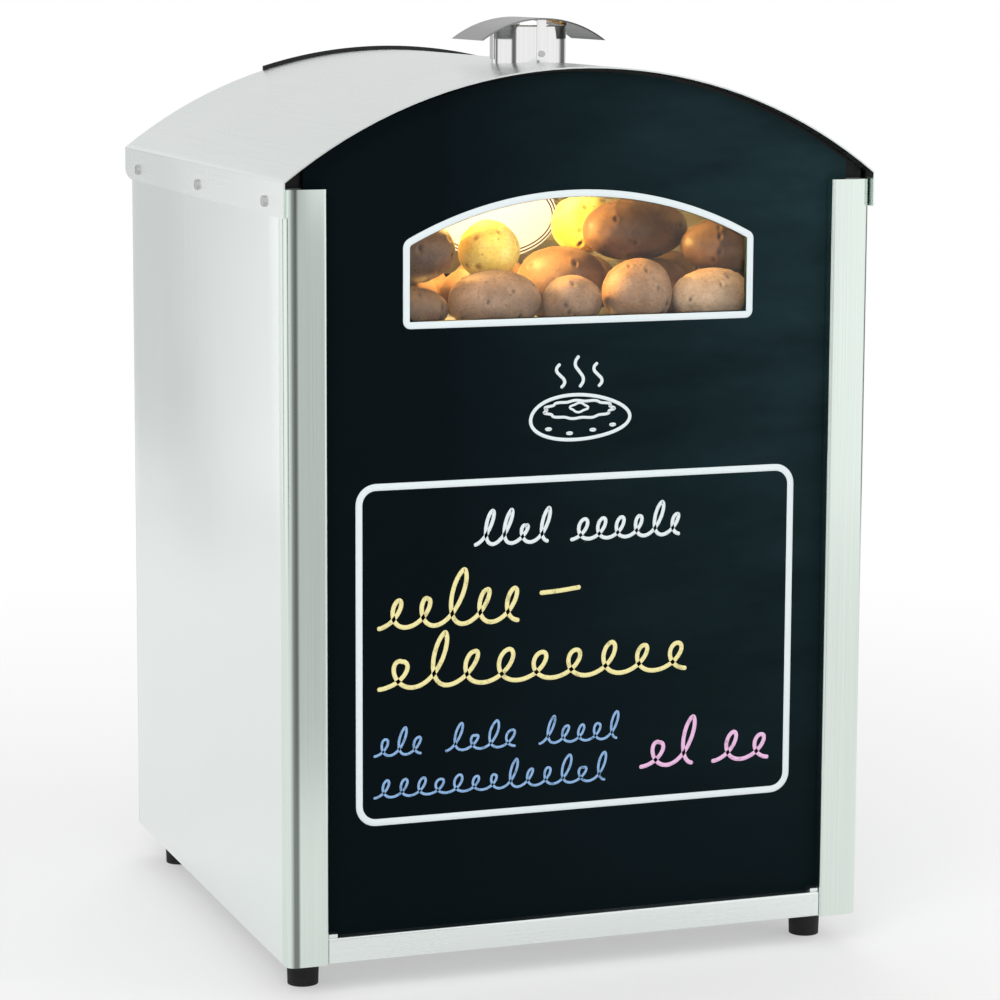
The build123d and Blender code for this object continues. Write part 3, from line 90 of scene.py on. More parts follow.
# %% Helpers for nodes
def step(tree, kind, inputs=None, **options):
    """Add one node to a tree; inputs maps socket names to values or to other sockets."""
    made = tree.nodes.new(kind)
    for option, value in options.items():
        setattr(made, option, value)
    for socket_name, value in (inputs or {}).items():
        socket = made.inputs[socket_name]
        if isinstance(value, bpy.types.NodeSocket):
            tree.links.new(value, socket)
        else:
            socket.default_value = value
    return made


def blended(tree, share, first, second):
    """Mix two colours by a share from 0 to 1 and give back the result."""
    mixer = step(tree, "ShaderNodeMix", data_type="RGBA")
    for index, value in ((0, share), (6, first), (7, second)):
        if isinstance(value, bpy.types.NodeSocket):
            tree.links.new(value, mixer.inputs[index])
        else:
            mixer.inputs[index].default_value = value
    return mixer.outputs[2]


def ranged(tree, value, low, high, from_low=0.0, from_high=1.0):
    """Carry a value from one range to another, clamped at the ends."""
    inputs = {"Value": value, "From Min": from_low, "From Max": from_high, "To Min": low, "To Max": high}
    return step(tree, "ShaderNodeMapRange", inputs).outputs["Result"]


def times(tree, first, second):
    """Multiply two values and give back the result."""
    return step(tree, "ShaderNodeMath", {0: first, 1: second}, operation="MULTIPLY").outputs[0]


def any_of(tree, *flags):
    """1 where at least one of several values that are 0 or 1 is 1, and 0 elsewhere."""
    found = flags[0]
    for flag in flags[1:]:
        found = step(tree, "ShaderNodeMath", {0: found, 1: flag}, operation="MAXIMUM").outputs[0]
    return found


def new_group(name, inputs, outputs):
    """Start a shader node group with named inputs (name, kind, default) and outputs."""
    group = bpy.data.node_groups.new(name, "ShaderNodeTree")
    for label, kind, default in inputs:
        socket = group.interface.new_socket(label, in_out="INPUT", socket_type=kind)
        socket.default_value = default
    for label, kind in outputs:
        group.interface.new_socket(label, in_out="OUTPUT", socket_type=kind)
    return group, group.nodes.new("NodeGroupInput").outputs, group.nodes.new("NodeGroupOutput")


# %% [markdown]
# ## Effects that several finishes share
# Brushed steel carries fine scratches that all run one way, because the sheet went under a
# belt. The scratches are a noise squeezed across the belt's direction and stretched along
# it. The three scales are inputs, so one group serves upright, level and deep sheets.

# %% Group: brushed grain
grain_group, grain_in, grain_out = new_group(
    "brushed_grain",
    [
        ("Scale", "NodeSocketVector", (900.0, 900.0, 6.0)),
        ("Depth", "NodeSocketFloat", 0.05),
        ("Low Roughness", "NodeSocketFloat", 0.25),
        ("High Roughness", "NodeSocketFloat", 0.4),
    ],
    [("Shade", "NodeSocketFloat"), ("Roughness", "NodeSocketFloat"), ("Normal", "NodeSocketVector")],
)
place = step(grain_group, "ShaderNodeTexCoord").outputs["Object"]
stretched = step(
    grain_group, "ShaderNodeVectorMath", {0: place, 1: grain_in["Scale"]}, operation="MULTIPLY"
).outputs["Vector"]
fine = step(grain_group, "ShaderNodeTexNoise", {"Vector": stretched, "Scale": 1.0, "Detail": 3.0})
soft = step(grain_group, "ShaderNodeTexNoise", {"Vector": place, "Scale": 7.0, "Detail": 4.0})
grain = fine.outputs["Fac"]
worn = times(grain_group, grain, soft.outputs["Fac"])
bump = step(
    grain_group,
    "ShaderNodeBump",
    {"Strength": grain_in["Depth"], "Distance": 0.0002, "Height": grain},
)
rough = step(
    grain_group,
    "ShaderNodeMapRange",
    {
        "Value": worn,
        "From Min": 0.12,
        "From Max": 0.4,
        "To Min": grain_in["Low Roughness"],
        "To Max": grain_in["High Roughness"],
    },
)
grain_group.links.new(grain, grain_out.inputs["Shade"])
grain_group.links.new(rough.outputs["Result"], grain_out.inputs["Roughness"])
grain_group.links.new(bump.outputs["Normal"], grain_out.inputs["Normal"])

# %% [markdown]
# Moulded plastic, rubber, enamel and cast ceramic all have a faint skin texture, and
# handling leaves soft patches on them. One group gives both: a fine noise that drives a
# small bump, and a broad noise that is used as a mask for the patches.

# %% Group: skin and patches
skin_group, skin_in, skin_out = new_group(
    "skin_and_patches",
    [
        ("Fine Scale", "NodeSocketFloat", 900.0),
        ("Patch Scale", "NodeSocketFloat", 12.0),
        ("Depth", "NodeSocketFloat", 0.1),
    ],
    [("Fine", "NodeSocketFloat"), ("Patches", "NodeSocketFloat"), ("Normal", "NodeSocketVector")],
)
place = step(skin_group, "ShaderNodeTexCoord").outputs["Object"]
fine = step(
    skin_group, "ShaderNodeTexNoise", {"Vector": place, "Scale": skin_in["Fine Scale"], "Detail": 2.0}
)
broad = step(
    skin_group, "ShaderNodeTexNoise", {"Vector": place, "Scale": skin_in["Patch Scale"], "Detail": 4.0}
)
bump = step(
    skin_group,
    "ShaderNodeBump",
    {"Strength": skin_in["Depth"], "Distance": 0.0005, "Height": fine.outputs["Fac"]},
)
skin_group.links.new(fine.outputs["Fac"], skin_out.inputs["Fine"])
skin_group.links.new(
    ranged(skin_group, broad.outputs["Fac"], 0.0, 1.0, 0.35, 0.65), skin_out.inputs["Patches"]
)
skin_group.links.new(bump.outputs["Normal"], skin_out.inputs["Normal"])


# %% Helpers for materials
def new_material(name):
    """A material with one Principled shader; returns the material, its tree and the shader."""
    made = bpy.data.materials.new(name)
    made.use_nodes = True
    tree = made.node_tree
    tree.nodes.clear()
    shader = tree.nodes.new("ShaderNodeBsdfPrincipled")
    output = tree.nodes.new("ShaderNodeOutputMaterial")
    tree.links.new(shader.outputs[0], output.inputs["Surface"])
    return made, tree, shader


def end_with(tree, surface):
    """Send a shader to a material's surface, in place of what was sent there before."""
    output = next(item for item in tree.nodes if item.type == "OUTPUT_MATERIAL")
    tree.links.new(surface, output.inputs["Surface"])


def grey(level, tint=(1.0, 1.0, 1.0)):
    """An opaque colour of one level, tinted."""
    return (*[level * share for share in tint], 1.0)


def brushed_steel(name, scale, dark, light, depth=0.05, rough=(0.22, 0.38)):
    """Brushed sheet: a metal whose colour and gloss both follow the scratches."""
    made, tree, shader = new_material(name)
    inputs = {"Scale": scale, "Depth": depth, "Low Roughness": rough[0], "High Roughness": rough[1]}
    group = step(tree, "ShaderNodeGroup", node_tree=grain_group)
    for label, value in inputs.items():
        group.inputs[label].default_value = value
    colour = blended(tree, ranged(tree, group.outputs["Shade"], 0.0, 1.0, 0.3, 0.7), dark, light)
    tree.links.new(colour, shader.inputs["Base Color"])
    tree.links.new(group.outputs["Roughness"], shader.inputs["Roughness"])
    tree.links.new(group.outputs["Normal"], shader.inputs["Normal"])
    shader.inputs["Metallic"].default_value = 1.0
    return made


def moulded(name, first, second, rough, fine=900.0, patch=12.0, depth=0.1, specular=0.5, metal=0.0):
    """Painted, moulded or cast stuff: two near colours in patches and a fine skin."""
    made, tree, shader = new_material(name)
    group = step(tree, "ShaderNodeGroup", node_tree=skin_group)
    for label, value in {"Fine Scale": fine, "Patch Scale": patch, "Depth": depth}.items():
        group.inputs[label].default_value = value
    tree.links.new(blended(tree, group.outputs["Patches"], first, second), shader.inputs["Base Color"])
    gloss = ranged(tree, group.outputs["Fine"], *rough, 0.3, 0.7)
    tree.links.new(gloss, shader.inputs["Roughness"])
    tree.links.new(group.outputs["Normal"], shader.inputs["Normal"])
    shader.inputs["Specular IOR Level"].default_value = specular
    shader.inputs["Metallic"].default_value = metal
    return made


# %% [markdown]
# ## Steel finishes
# All the sheet is the same steel, but the belt ran along each sheet's long side: upright on
# the sides and trims, front to back on the roof, and level on the rail and at the rear. The
# rear sheets are a little darker, so that the door stands out from the frame round it.

# %% Steel
cross, along = 1100.0, 5.0
cool, green = (0.945, 1.0, 0.98), (0.9, 1.0, 0.935)
# The levels are partly painted light: the same steel is set darker on the trims, roof and flue, and far
# darker on the cowl, than on the sides, as reflections made each sheet look.
steel_upright = brushed_steel(
    "steel_upright", (cross, cross, along), grey(0.97, cool), grey(1.0, cool), 0.02, (0.18, 0.24)
)
steel_trim = brushed_steel(
    "steel_trim", (cross, cross, along), grey(0.86, green), grey(0.92, green), 0.04, (0.16, 0.22)
)
steel_roof = brushed_steel(
    "steel_roof", (cross, along, cross), grey(0.8, cool), grey(0.85, cool), 0.025, (0.22, 0.3)
)
steel_level = brushed_steel("steel_level", (along, cross, cross), grey(0.94, cool), grey(0.98, cool), 0.04)
steel_rear = brushed_steel("steel_rear", (along, cross, cross), grey(0.8, cool), grey(0.86, cool), 0.04)
steel_door = brushed_steel("steel_door", (along, cross, cross), grey(0.66, cool), grey(0.74, cool), 0.04)
steel_flue = brushed_steel(
    "steel_flue", (500.0, 500.0, along), grey(0.8), grey(0.86), 0.02, (0.06, 0.14)
)
steel_cowl = brushed_steel("steel_cowl", (cross, along, cross), grey(0.24), grey(0.3), 0.03)
steel_screws = brushed_steel(
    "steel_screws", (600.0, 600.0, 600.0), grey(0.5), grey(0.58), 0.02, (0.16, 0.26)
)
steel_inside = brushed_steel(
    "steel_inside", (along, 600.0, 600.0), grey(0.5), grey(0.62), 0.05, (0.3, 0.5)
)
steel_bright = brushed_steel(
    "steel_bright", (400.0, 400.0, 400.0), grey(0.7), grey(0.76), 0.01, (0.1, 0.16)
)

# %% [markdown]
# The photograph shows three tones that these finishes don't give: a dark line beside the
# left trim's bend, roof flanges brighter than the roof, and a cowl that darkens to the
# right. There they are most likely reflections. Here they are painted reflections, written
# as colour by position.


# %% Reflections painted as colour
def painted_reflection_where(material, axis, low, high, colour):
    """Paint a reflection into a steel: blend its colour into another where a coordinate is between low and
    high.

    low and high each hold the two coordinates between which the change fades in or out.
    """
    tree = material.node_tree
    shader = next(item for item in tree.nodes if item.type == "BSDF_PRINCIPLED")
    place = step(tree, "ShaderNodeTexCoord").outputs["Object"]
    value = step(tree, "ShaderNodeSeparateXYZ", {"Vector": place}).outputs[axis]
    begins, ends = ranged(tree, value, 0.0, 1.0, *low), ranged(tree, value, 1.0, 0.0, *high)
    inside = times(tree, begins, ends)
    sheet_colour = shader.inputs["Base Color"].links[0].from_socket
    tree.links.new(blended(tree, inside, sheet_colour, colour), shader.inputs["Base Color"])


# Painted reflections: a dark line by the left trim's bend, brighter roof flanges, and a cowl painted darker
# to the right.
painted_reflection_where(steel_trim, "X", (-0.2454, -0.2424), (-0.2394, -0.2374), grey(0.25, green))
painted_reflection_where(steel_roof, "Z", (0.5, 0.51), (0.647, 0.652), grey(0.99, cool))
painted_reflection_where(steel_cowl, "X", (-0.01, 0.03), (0.2, 0.3), grey(0.1, (1.0, 0.97, 0.92)))

# %% [markdown]
# Galvanised sheet hides inside the cabinet. Zinc freezes in flat crystals, so its pattern is
# a cell texture whose cells each take their own grey.

# %% Galvanised sheet
galvanised, tree, shader = new_material("galvanised")
place = step(tree, "ShaderNodeTexCoord").outputs["Object"]
cells = step(tree, "ShaderNodeTexVoronoi", {"Vector": place, "Scale": 110.0})
tone = step(tree, "ShaderNodeSeparateColor", {"Color": cells.outputs["Color"]}).outputs["Red"]
tree.links.new(blended(tree, tone, grey(0.42), grey(0.6, (0.97, 0.99, 1.0))), shader.inputs["Base Color"])
tree.links.new(ranged(tree, tone, 0.32, 0.55), shader.inputs["Roughness"])
shader.inputs["Metallic"].default_value = 1.0

# %% [markdown]
# ## The writing board
# The board is sheet with a deep blue-black writing surface. It hardly reflects. In the
# photograph it is a little paler towards its upper right corner, so its colour drifts with
# height and width, and its gloss follows soft wipe marks.

# %% Board black
board_black, tree, shader = new_material("board_black")
place = step(tree, "ShaderNodeTexCoord").outputs["Object"]
axes = step(tree, "ShaderNodeSeparateXYZ", {"Vector": place}).outputs
rising = ranged(tree, axes["Z"], 0.1, 1.0, 0.05, 0.7)
rightward = ranged(tree, axes["X"], 0.0, 1.0, -0.12, 0.24)
corner = times(tree, rising, rightward)
wiped = step(
    tree, "ShaderNodeVectorMath", {0: place, 1: (9.0, 1.0, 30.0)}, operation="MULTIPLY"
).outputs["Vector"]
haze = step(tree, "ShaderNodeTexNoise", {"Vector": wiped, "Scale": 1.0, "Detail": 5.0, "Roughness": 0.6})
pale = times(tree, corner, haze.outputs["Fac"])
board_colour = blended(tree, pale, (0.002, 0.0054, 0.0076, 1.0), (0.026, 0.062, 0.07, 1.0))
tree.links.new(board_colour, shader.inputs["Base Color"])
tree.links.new(ranged(tree, haze.outputs["Fac"], 0.34, 0.5, 0.3, 0.7), shader.inputs["Roughness"])
shader.inputs["Specular IOR Level"].default_value = 0.03

# %% Enamel, plastics, rubber and the rest
black_enamel = moulded("black_enamel", grey(0.006), grey(0.012), (0.2, 0.3), 500.0, 8.0, 0.04, 0.2)
door_enamel = moulded("door_enamel", grey(0.01), grey(0.016), (0.3, 0.42), 900.0, 8.0, 0.08, 0.35)
white_enamel = moulded(
    "white_enamel", grey(0.86), grey(0.9, (1.0, 1.0, 0.97)), (0.16, 0.24), 300.0, 10.0, 0.02
)
rubber_black = moulded("rubber_black", grey(0.012), grey(0.03), (0.6, 0.8), 1400.0, 30.0, 0.25, 0.3)
plastic_black = moulded("plastic_black", grey(0.012), grey(0.022), (0.36, 0.5), 1600.0, 20.0, 0.14, 0.4)
plastic_gloss = moulded("plastic_gloss", grey(0.012), grey(0.018), (0.12, 0.2), 500.0, 20.0, 0.02, 0.5)
ceramic_white = moulded(
    "ceramic_white", (0.72, 0.7, 0.64, 1.0), (0.8, 0.79, 0.75, 1.0), (0.35, 0.55), 700.0, 40.0, 0.12
)
gasket_red = moulded(
    "gasket_red", (0.16, 0.035, 0.025, 1.0), (0.22, 0.05, 0.035, 1.0), (0.5, 0.65), 1200.0, 30.0, 0.2, 0.3
)
mineral_wool = moulded(
    "mineral_wool", (0.42, 0.36, 0.2, 1.0), (0.62, 0.55, 0.36, 1.0), (0.9, 1.0), 260.0, 40.0, 1.0, 0.05
)
heater_dark, heater_light = grey(0.1, (1.0, 0.95, 0.9)), grey(0.2, (1.0, 0.93, 0.86))
heater_grey = moulded("heater_grey", heater_dark, heater_light, (0.4, 0.6), 900.0, 60.0, 0.2, 0.4, 0.8)

# %% [markdown]
# ## Glass and lamps
# Window glass is clear. Light from the studio has to get through it to reach the potatoes,
# and a path tracer finds that hard, so for shadow rays the glass counts as transparent.

# %% Window glass
window_glass, tree, shader = new_material("window_glass")
place = step(tree, "ShaderNodeTexCoord").outputs["Object"]
film = step(tree, "ShaderNodeTexNoise", {"Vector": place, "Scale": 20.0, "Detail": 4.0})
glass_colour = blended(tree, film.outputs["Fac"], (0.97, 0.99, 0.98, 1.0), (0.99, 1.0, 0.99, 1.0))
tree.links.new(glass_colour, shader.inputs["Base Color"])
tree.links.new(ranged(tree, film.outputs["Fac"], 0.0, 0.02, 0.4, 0.8), shader.inputs["Roughness"])
shader.inputs["Transmission Weight"].default_value = 1.0
shader.inputs["IOR"].default_value = 1.3
shader.inputs["Specular IOR Level"].default_value = 0.3
clear = step(tree, "ShaderNodeBsdfTransparent", {"Color": (0.96, 0.97, 0.96, 1.0)})
light_path = step(tree, "ShaderNodeLightPath").outputs
chooser = step(
    tree,
    "ShaderNodeMixShader",
    {0: light_path["Is Shadow Ray"], 1: shader.outputs[0], 2: clear.outputs[0]},
)
end_with(tree, chooser.outputs[0])


# %% Glowing lamp and signal lenses
def glowing(name, first, second, glow, strength):
    """A lens that is lit from behind, a little uneven over its surface."""
    made, tree, shader = new_material(name)
    place = step(tree, "ShaderNodeTexCoord").outputs["Object"]
    uneven = step(tree, "ShaderNodeTexNoise", {"Vector": place, "Scale": 150.0, "Detail": 2.0})
    tree.links.new(blended(tree, uneven.outputs["Fac"], first, second), shader.inputs["Base Color"])
    tree.links.new(ranged(tree, uneven.outputs["Fac"], 0.15, 0.3), shader.inputs["Roughness"])
    shader.inputs["Emission Color"].default_value = glow
    shader.inputs["Emission Strength"].default_value = strength
    return made


lamp_glow = glowing("lamp_glow", (1.0, 0.8, 0.45, 1.0), (1.0, 0.88, 0.6, 1.0), (1.0, 0.66, 0.25, 1.0), 5.0)
lens_amber = glowing("lens_amber", (0.8, 0.3, 0.03, 1.0), (0.9, 0.4, 0.05, 1.0), (1.0, 0.35, 0.05, 1.0), 0.1)

# %% [markdown]
# ## Finishing the frame's own parts
# Each part of the frame keeps its shape and takes a finish. A table pairs every part with
# its material. Loose triangles show facets on curved sheet, so a small geometry node
# group joins them and softens every edge that turns by less than thirty degrees.

# %% Table of finishes
finishes = {
    steel_upright: "left_side_panel right_side_panel",
    steel_trim: "left_corner_trim right_corner_trim",
    steel_roof: "roof_cover",
    steel_level: "front_rail board_clips",
    steel_rear: "rear_frame control_panel hinge_brackets",
    steel_door: "oven_door_pan",
    steel_flue: "flue_pipe flue_straps",
    steel_cowl: "flue_cowl",
    steel_inside: (
        "display_liner display_floor oven_liner oven_door_inner fan_baffle shelf_runners display_door_pan"
    ),
    steel_screws: "fasteners",
    steel_bright: "oven_handle oven_hinge_pins display_hinges lower_shelf middle_shelf upper_shelf fan_shaft",
    galvanised: "base_pan oven_jacket oven_supports fan_motor fan_impeller element_clips",
    heater_grey: "ring_element display_element",
    board_black: "front_board",
    black_enamel: "front_bulkhead",
    door_enamel: "display_door",
    white_enamel: "sign_plate",
    rubber_black: "rubber_feet",
    plastic_black: (
        "display_door_knob thermostat_knob timer_knob lead_gland regulators switch_housings door_catches"
    ),
    plastic_gloss: "oven_switch_rocker light_switch_rocker",
    ceramic_white: "lamp_holder terminal_block",
    gasket_red: "oven_door_gasket",
    mineral_wool: "oven_insulation oven_door_insulation",
    window_glass: "window_glass",
    lamp_glow: "display_lamp",
    lens_amber: "indicator_lamps",
}

# %% Group: soft shading on joined triangles
smooth_group = bpy.data.node_groups.new("joined_and_softened", "GeometryNodeTree")
smooth_group.interface.new_socket("Geometry", in_out="INPUT", socket_type="NodeSocketGeometry")
smooth_group.interface.new_socket("Geometry", in_out="OUTPUT", socket_type="NodeSocketGeometry")
incoming = smooth_group.nodes.new("NodeGroupInput")
outgoing = smooth_group.nodes.new("NodeGroupOutput")
joined = step(
    smooth_group, "GeometryNodeMergeByDistance", {"Geometry": incoming.outputs[0], "Distance": 0.00001}
)
angle = step(smooth_group, "GeometryNodeInputMeshEdgeAngle").outputs["Unsigned Angle"]
gentle = step(
    smooth_group, "FunctionNodeCompare", {"A": angle, "B": np.radians(30.0)}, operation="LESS_THAN"
)
faces = step(
    smooth_group,
    "GeometryNodeSetShadeSmooth",
    {"Geometry": joined.outputs["Geometry"], "Shade Smooth": True},
    domain="FACE",
)
edges = step(
    smooth_group,
    "GeometryNodeSetShadeSmooth",
    {"Geometry": faces.outputs["Geometry"], "Shade Smooth": gentle.outputs["Result"]},
    domain="EDGE",
)
smooth_group.links.new(edges.outputs["Geometry"], outgoing.inputs[0])

# %% Give every frame part its finish
for material, names in finishes.items():
    for name in names.split():
        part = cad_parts[name]
        part.data.materials.clear()
        part.data.materials.append(material)
        soften = part.modifiers.new("soften", "NODES")
        soften.node_group = smooth_group
print("finished", sum(len(names.split()) for names in finishes.values()), "frame parts")

# %% [markdown]
# ## Surfaces from arrays
# Every new piece is a grid of points, worked out as whole arrays. One helper turns grids
# into a mesh: it joins each point to its neighbours, closes the grid where it wraps round,
# merges the points that meet at a pole, and turns all faces outwards.


# %% Helper: grids to a mesh
def grid_faces(rows, columns, wrap_rows, wrap_columns):
    """Corner numbers of the quads between the points of a rows x columns grid."""
    r, c = np.meshgrid(
        np.arange(rows if wrap_rows else rows - 1),
        np.arange(columns if wrap_columns else columns - 1),
        indexing="ij",
    )
    r_next, c_next = (r + 1) % rows, (c + 1) % columns
    corners = (r * columns + c, r_next * columns + c, r_next * columns + c_next, r * columns + c_next)
    return np.stack(corners, axis=-1).reshape(-1, 4)


def surface_piece(name, grids, material, body="body", wrap_rows=False, wrap_columns=True, marks=None):
    """Make one piece from a list of point grids, each of shape rows x columns x 3.

    marks may give a value for each point, which the mesh keeps as an attribute for its material.
    """
    points, quads, count = [], [], 0
    for grid in grids:
        rows, columns = grid.shape[:2]
        points.append(grid.reshape(-1, 3))
        quads.append(grid_faces(rows, columns, wrap_rows, wrap_columns) + count)
        count += rows * columns
    mesh = bpy.data.meshes.new(name)
    mesh.from_pydata(np.concatenate(points), [], np.concatenate(quads))
    if marks is not None:
        mesh.attributes.new("marks", "FLOAT", "POINT").data.foreach_set("value", marks.ravel())
    editable = bmesh.new()
    editable.from_mesh(mesh)
    bmesh.ops.remove_doubles(editable, verts=editable.verts, dist=1e-6)
    bmesh.ops.recalc_face_normals(editable, faces=editable.faces)
    editable.to_mesh(mesh)
    editable.free()
    mesh.shade_smooth()
    mesh.materials.append(material)
    piece = bpy.data.objects.new(name, mesh)
    scene.collection.objects.link(piece)
    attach(piece, body)
    print(name, len(mesh.polygons), "faces")
    return piece


# %% [markdown]
# ## Potatoes
# A potato could be a sphere with displacement, but its eyes and its slight bend are easier
# to place in a formula. Each potato is a spheroid whose radius is changed by three things:
# one end is fatter, long waves make it lumpy, and each eye is a dent under a raised brow.

# %% Potato shape
potato_rows, potato_columns = 80, 110


def potato_grid(x, y, z, length, thickness, heading, seed):
    """Points of one potato, and a value from 0 to 1 that is high in its eyes.

    With t from pole to pole and a round the long axis, the radius is half the thickness
    times sin t, times one end's swelling, times waves in t and a, less a dent at each eye.
    The middle line is bent a little by the square of the distance along it.
    """
    draw = np.random.default_rng(seed)
    t = np.linspace(0.0, np.pi, potato_rows)[:, None]
    a = np.linspace(0.0, 2 * np.pi, potato_columns, endpoint=False)[None, :]
    swelling = 1.0 + draw.uniform(-0.09, 0.09) * np.cos(t)
    waves = 1.0 + 0 * t * a
    for lengthwise, around in ((1, 2), (2, 1), (2, 3), (3, 2), (4, 3), (5, 5)):
        size = 0.035 / (lengthwise + around) ** 0.7
        waves = waves + size * np.cos(lengthwise * t + draw.uniform(0, 6.3)) * np.cos(
            around * a + draw.uniform(0, 6.3)
        )
    along = np.cos(t) + 0 * a
    marks = 0 * waves
    for eye_a in np.arange(14) * 2.4 + draw.uniform(0, 6.3):
        eye_t = draw.uniform(0.45, 2.7)
        turn = (a - eye_a + np.pi) % (2 * np.pi) - np.pi
        ahead_mm = length / 2 * (along - np.cos(eye_t))
        across_mm = turn * np.sin(eye_t) * thickness / 2
        gap = np.hypot(ahead_mm / 1.0, across_mm / 1.7) / draw.uniform(0.75, 1.15)
        pit = np.exp(-((gap / 1.5) ** 2))
        brow = np.exp(-(((gap - 3.2) / 1.5) ** 2))
        waves = waves + (1.1 * brow - 2.6 * pit) / thickness
        marks = np.maximum(marks, pit)
    radius = thickness / 2 * np.sin(t) ** 0.94 * swelling * waves
    bend = draw.uniform(-0.05, 0.05) * thickness * along**2
    forward = length / 2 * along
    sideways = radius * np.cos(a) + bend
    upward = radius * np.sin(a)
    angle = np.radians(heading)
    grid = np.stack(
        [
            x + forward * np.cos(angle) - sideways * np.sin(angle),
            y + forward * np.sin(angle) + sideways * np.cos(angle),
            z + upward,
        ],
        axis=-1,
    )
    grid[0], grid[-1] = grid[0].mean(axis=0), grid[-1].mean(axis=0)
    return grid * mm, marks


# %% [markdown]
# Baked skin is leathery and soft-shiny, dull brown with paler patches. Two noises mix its
# tones, small pores are dark dots, and the eyes are darker still. Each potato differs
# because the noise is read at its own place in the cabinet. The skins below also differ:
# the lamp-lit one is painted light, and tan, pale and brown are partly their own tone and
# partly painted light and shade.


# %% Potato skin
def potato_skin(name, dark, middle, light, glow=0.06):
    """Baked potato skin in three tones, with pores, dark eyes and a leathery bump.

    glow is how much of the light travels inside the skin before it comes out, and how far.
    """
    made, tree, shader = new_material(name)
    place = step(tree, "ShaderNodeTexCoord").outputs["Object"]
    broad = step(
        tree, "ShaderNodeTexNoise", {"Vector": place, "Scale": 48.0, "Detail": 5.0, "Roughness": 0.65}
    )
    speck = step(
        tree, "ShaderNodeTexNoise", {"Vector": place, "Scale": 420.0, "Detail": 3.0, "Roughness": 0.7}
    )
    pores = step(tree, "ShaderNodeTexVoronoi", {"Vector": place, "Scale": 150.0, "Randomness": 1.0})
    eyes = step(tree, "ShaderNodeAttribute", attribute_name="marks").outputs["Fac"]
    tone = blended(tree, ranged(tree, broad.outputs["Fac"], 0.0, 1.0, 0.38, 0.62), middle, light)
    tone = blended(tree, ranged(tree, pores.outputs["Distance"], 0.6, 0.0, 0.05, 0.2), tone, dark)
    tone = blended(tree, ranged(tree, speck.outputs["Fac"], 0.0, 0.4, 0.5, 0.72), tone, dark)
    tone = blended(tree, ranged(tree, eyes, 0.0, 0.9, 0.15, 0.85), tone, dark)
    tree.links.new(tone, shader.inputs["Base Color"])
    tree.links.new(ranged(tree, speck.outputs["Fac"], 0.34, 0.56, 0.3, 0.7), shader.inputs["Roughness"])
    bump = step(
        tree, "ShaderNodeBump", {"Strength": 0.16, "Distance": 0.0006, "Height": speck.outputs["Fac"]}
    )
    tree.links.new(bump.outputs["Normal"], shader.inputs["Normal"])
    shader.inputs["Specular IOR Level"].default_value = 0.5
    shader.inputs["Subsurface Weight"].default_value = glow
    shader.inputs["Subsurface Radius"].default_value = (0.012, 0.008, 0.003)
    shader.inputs["Subsurface Scale"].default_value = glow
    return made


# Tan and pale, on front potatoes, are partly their own tone and partly painted light from the front; brown,
# on the rest, is partly painted shade.
skin_tan = potato_skin(
    "skin_tan", (0.05, 0.024, 0.013, 1.0), (0.2, 0.118, 0.07, 1.0), (0.33, 0.21, 0.135, 1.0)
)
skin_pale = potato_skin(
    "skin_pale", (0.07, 0.035, 0.02, 1.0), (0.34, 0.23, 0.15, 1.0), (0.5, 0.37, 0.26, 1.0)
)
skin_brown = potato_skin(
    "skin_brown", (0.025, 0.012, 0.008, 1.0), (0.105, 0.06, 0.038, 1.0), (0.18, 0.11, 0.07, 1.0)
)
# A lit copy of the skin: its bright yellow is painted lamplight on the two potatoes under the bulb.
skin_painted_lamplight = potato_skin(
    "skin_painted_lamplight", (0.4, 0.18, 0.03, 1.0), (0.92, 0.68, 0.14, 1.0), (1.0, 0.84, 0.3, 1.0), 0.4
)

# %% [markdown]
# The heap is settled one potato at a time: each is let down until it rests on the floor or
# on those below it. Two potatoes first touch where the lower one's top and the upper one's
# underside reach furthest towards each other, so that sum is taken over a grid of points.


# %% Settle the heap
heap_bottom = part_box("display_potatoes")[0].z / mm
touching_gap, grid_step = 0.3, 1.0


def half_height(xs, ys, x, y, length, thickness, heading):
    """How far a spheroid's surface lies above or below its middle over points, else nan.

    With u along the heading and v across it, this is half the thickness times the root of
    1 - (2 u / length)^2 - (2 v / thickness)^2.
    """
    angle = np.radians(heading)
    u = (xs - x) * np.cos(angle) + (ys - y) * np.sin(angle)
    v = (ys - y) * np.cos(angle) - (xs - x) * np.sin(angle)
    inside = 1 - (2 * u / length) ** 2 - (2 * v / thickness) ** 2
    return np.where(inside > 0, thickness / 2 * np.sqrt(np.clip(inside, 0, None)), np.nan)


def settled_height(where, placed):
    """The height of a potato's middle once it rests on the floor or on the ones placed."""
    x, y, length, thickness, _ = where
    offsets = np.arange(-length / 2, length / 2 + grid_step, grid_step)
    xs, ys = np.meshgrid(x + offsets, y + offsets)
    own = half_height(xs, ys, *where)
    height = heap_bottom + thickness / 2
    for other, other_height in placed:
        contact = other_height + half_height(xs, ys, *other) + own + touching_gap
        height = np.nanmax(contact, initial=height)
    return height


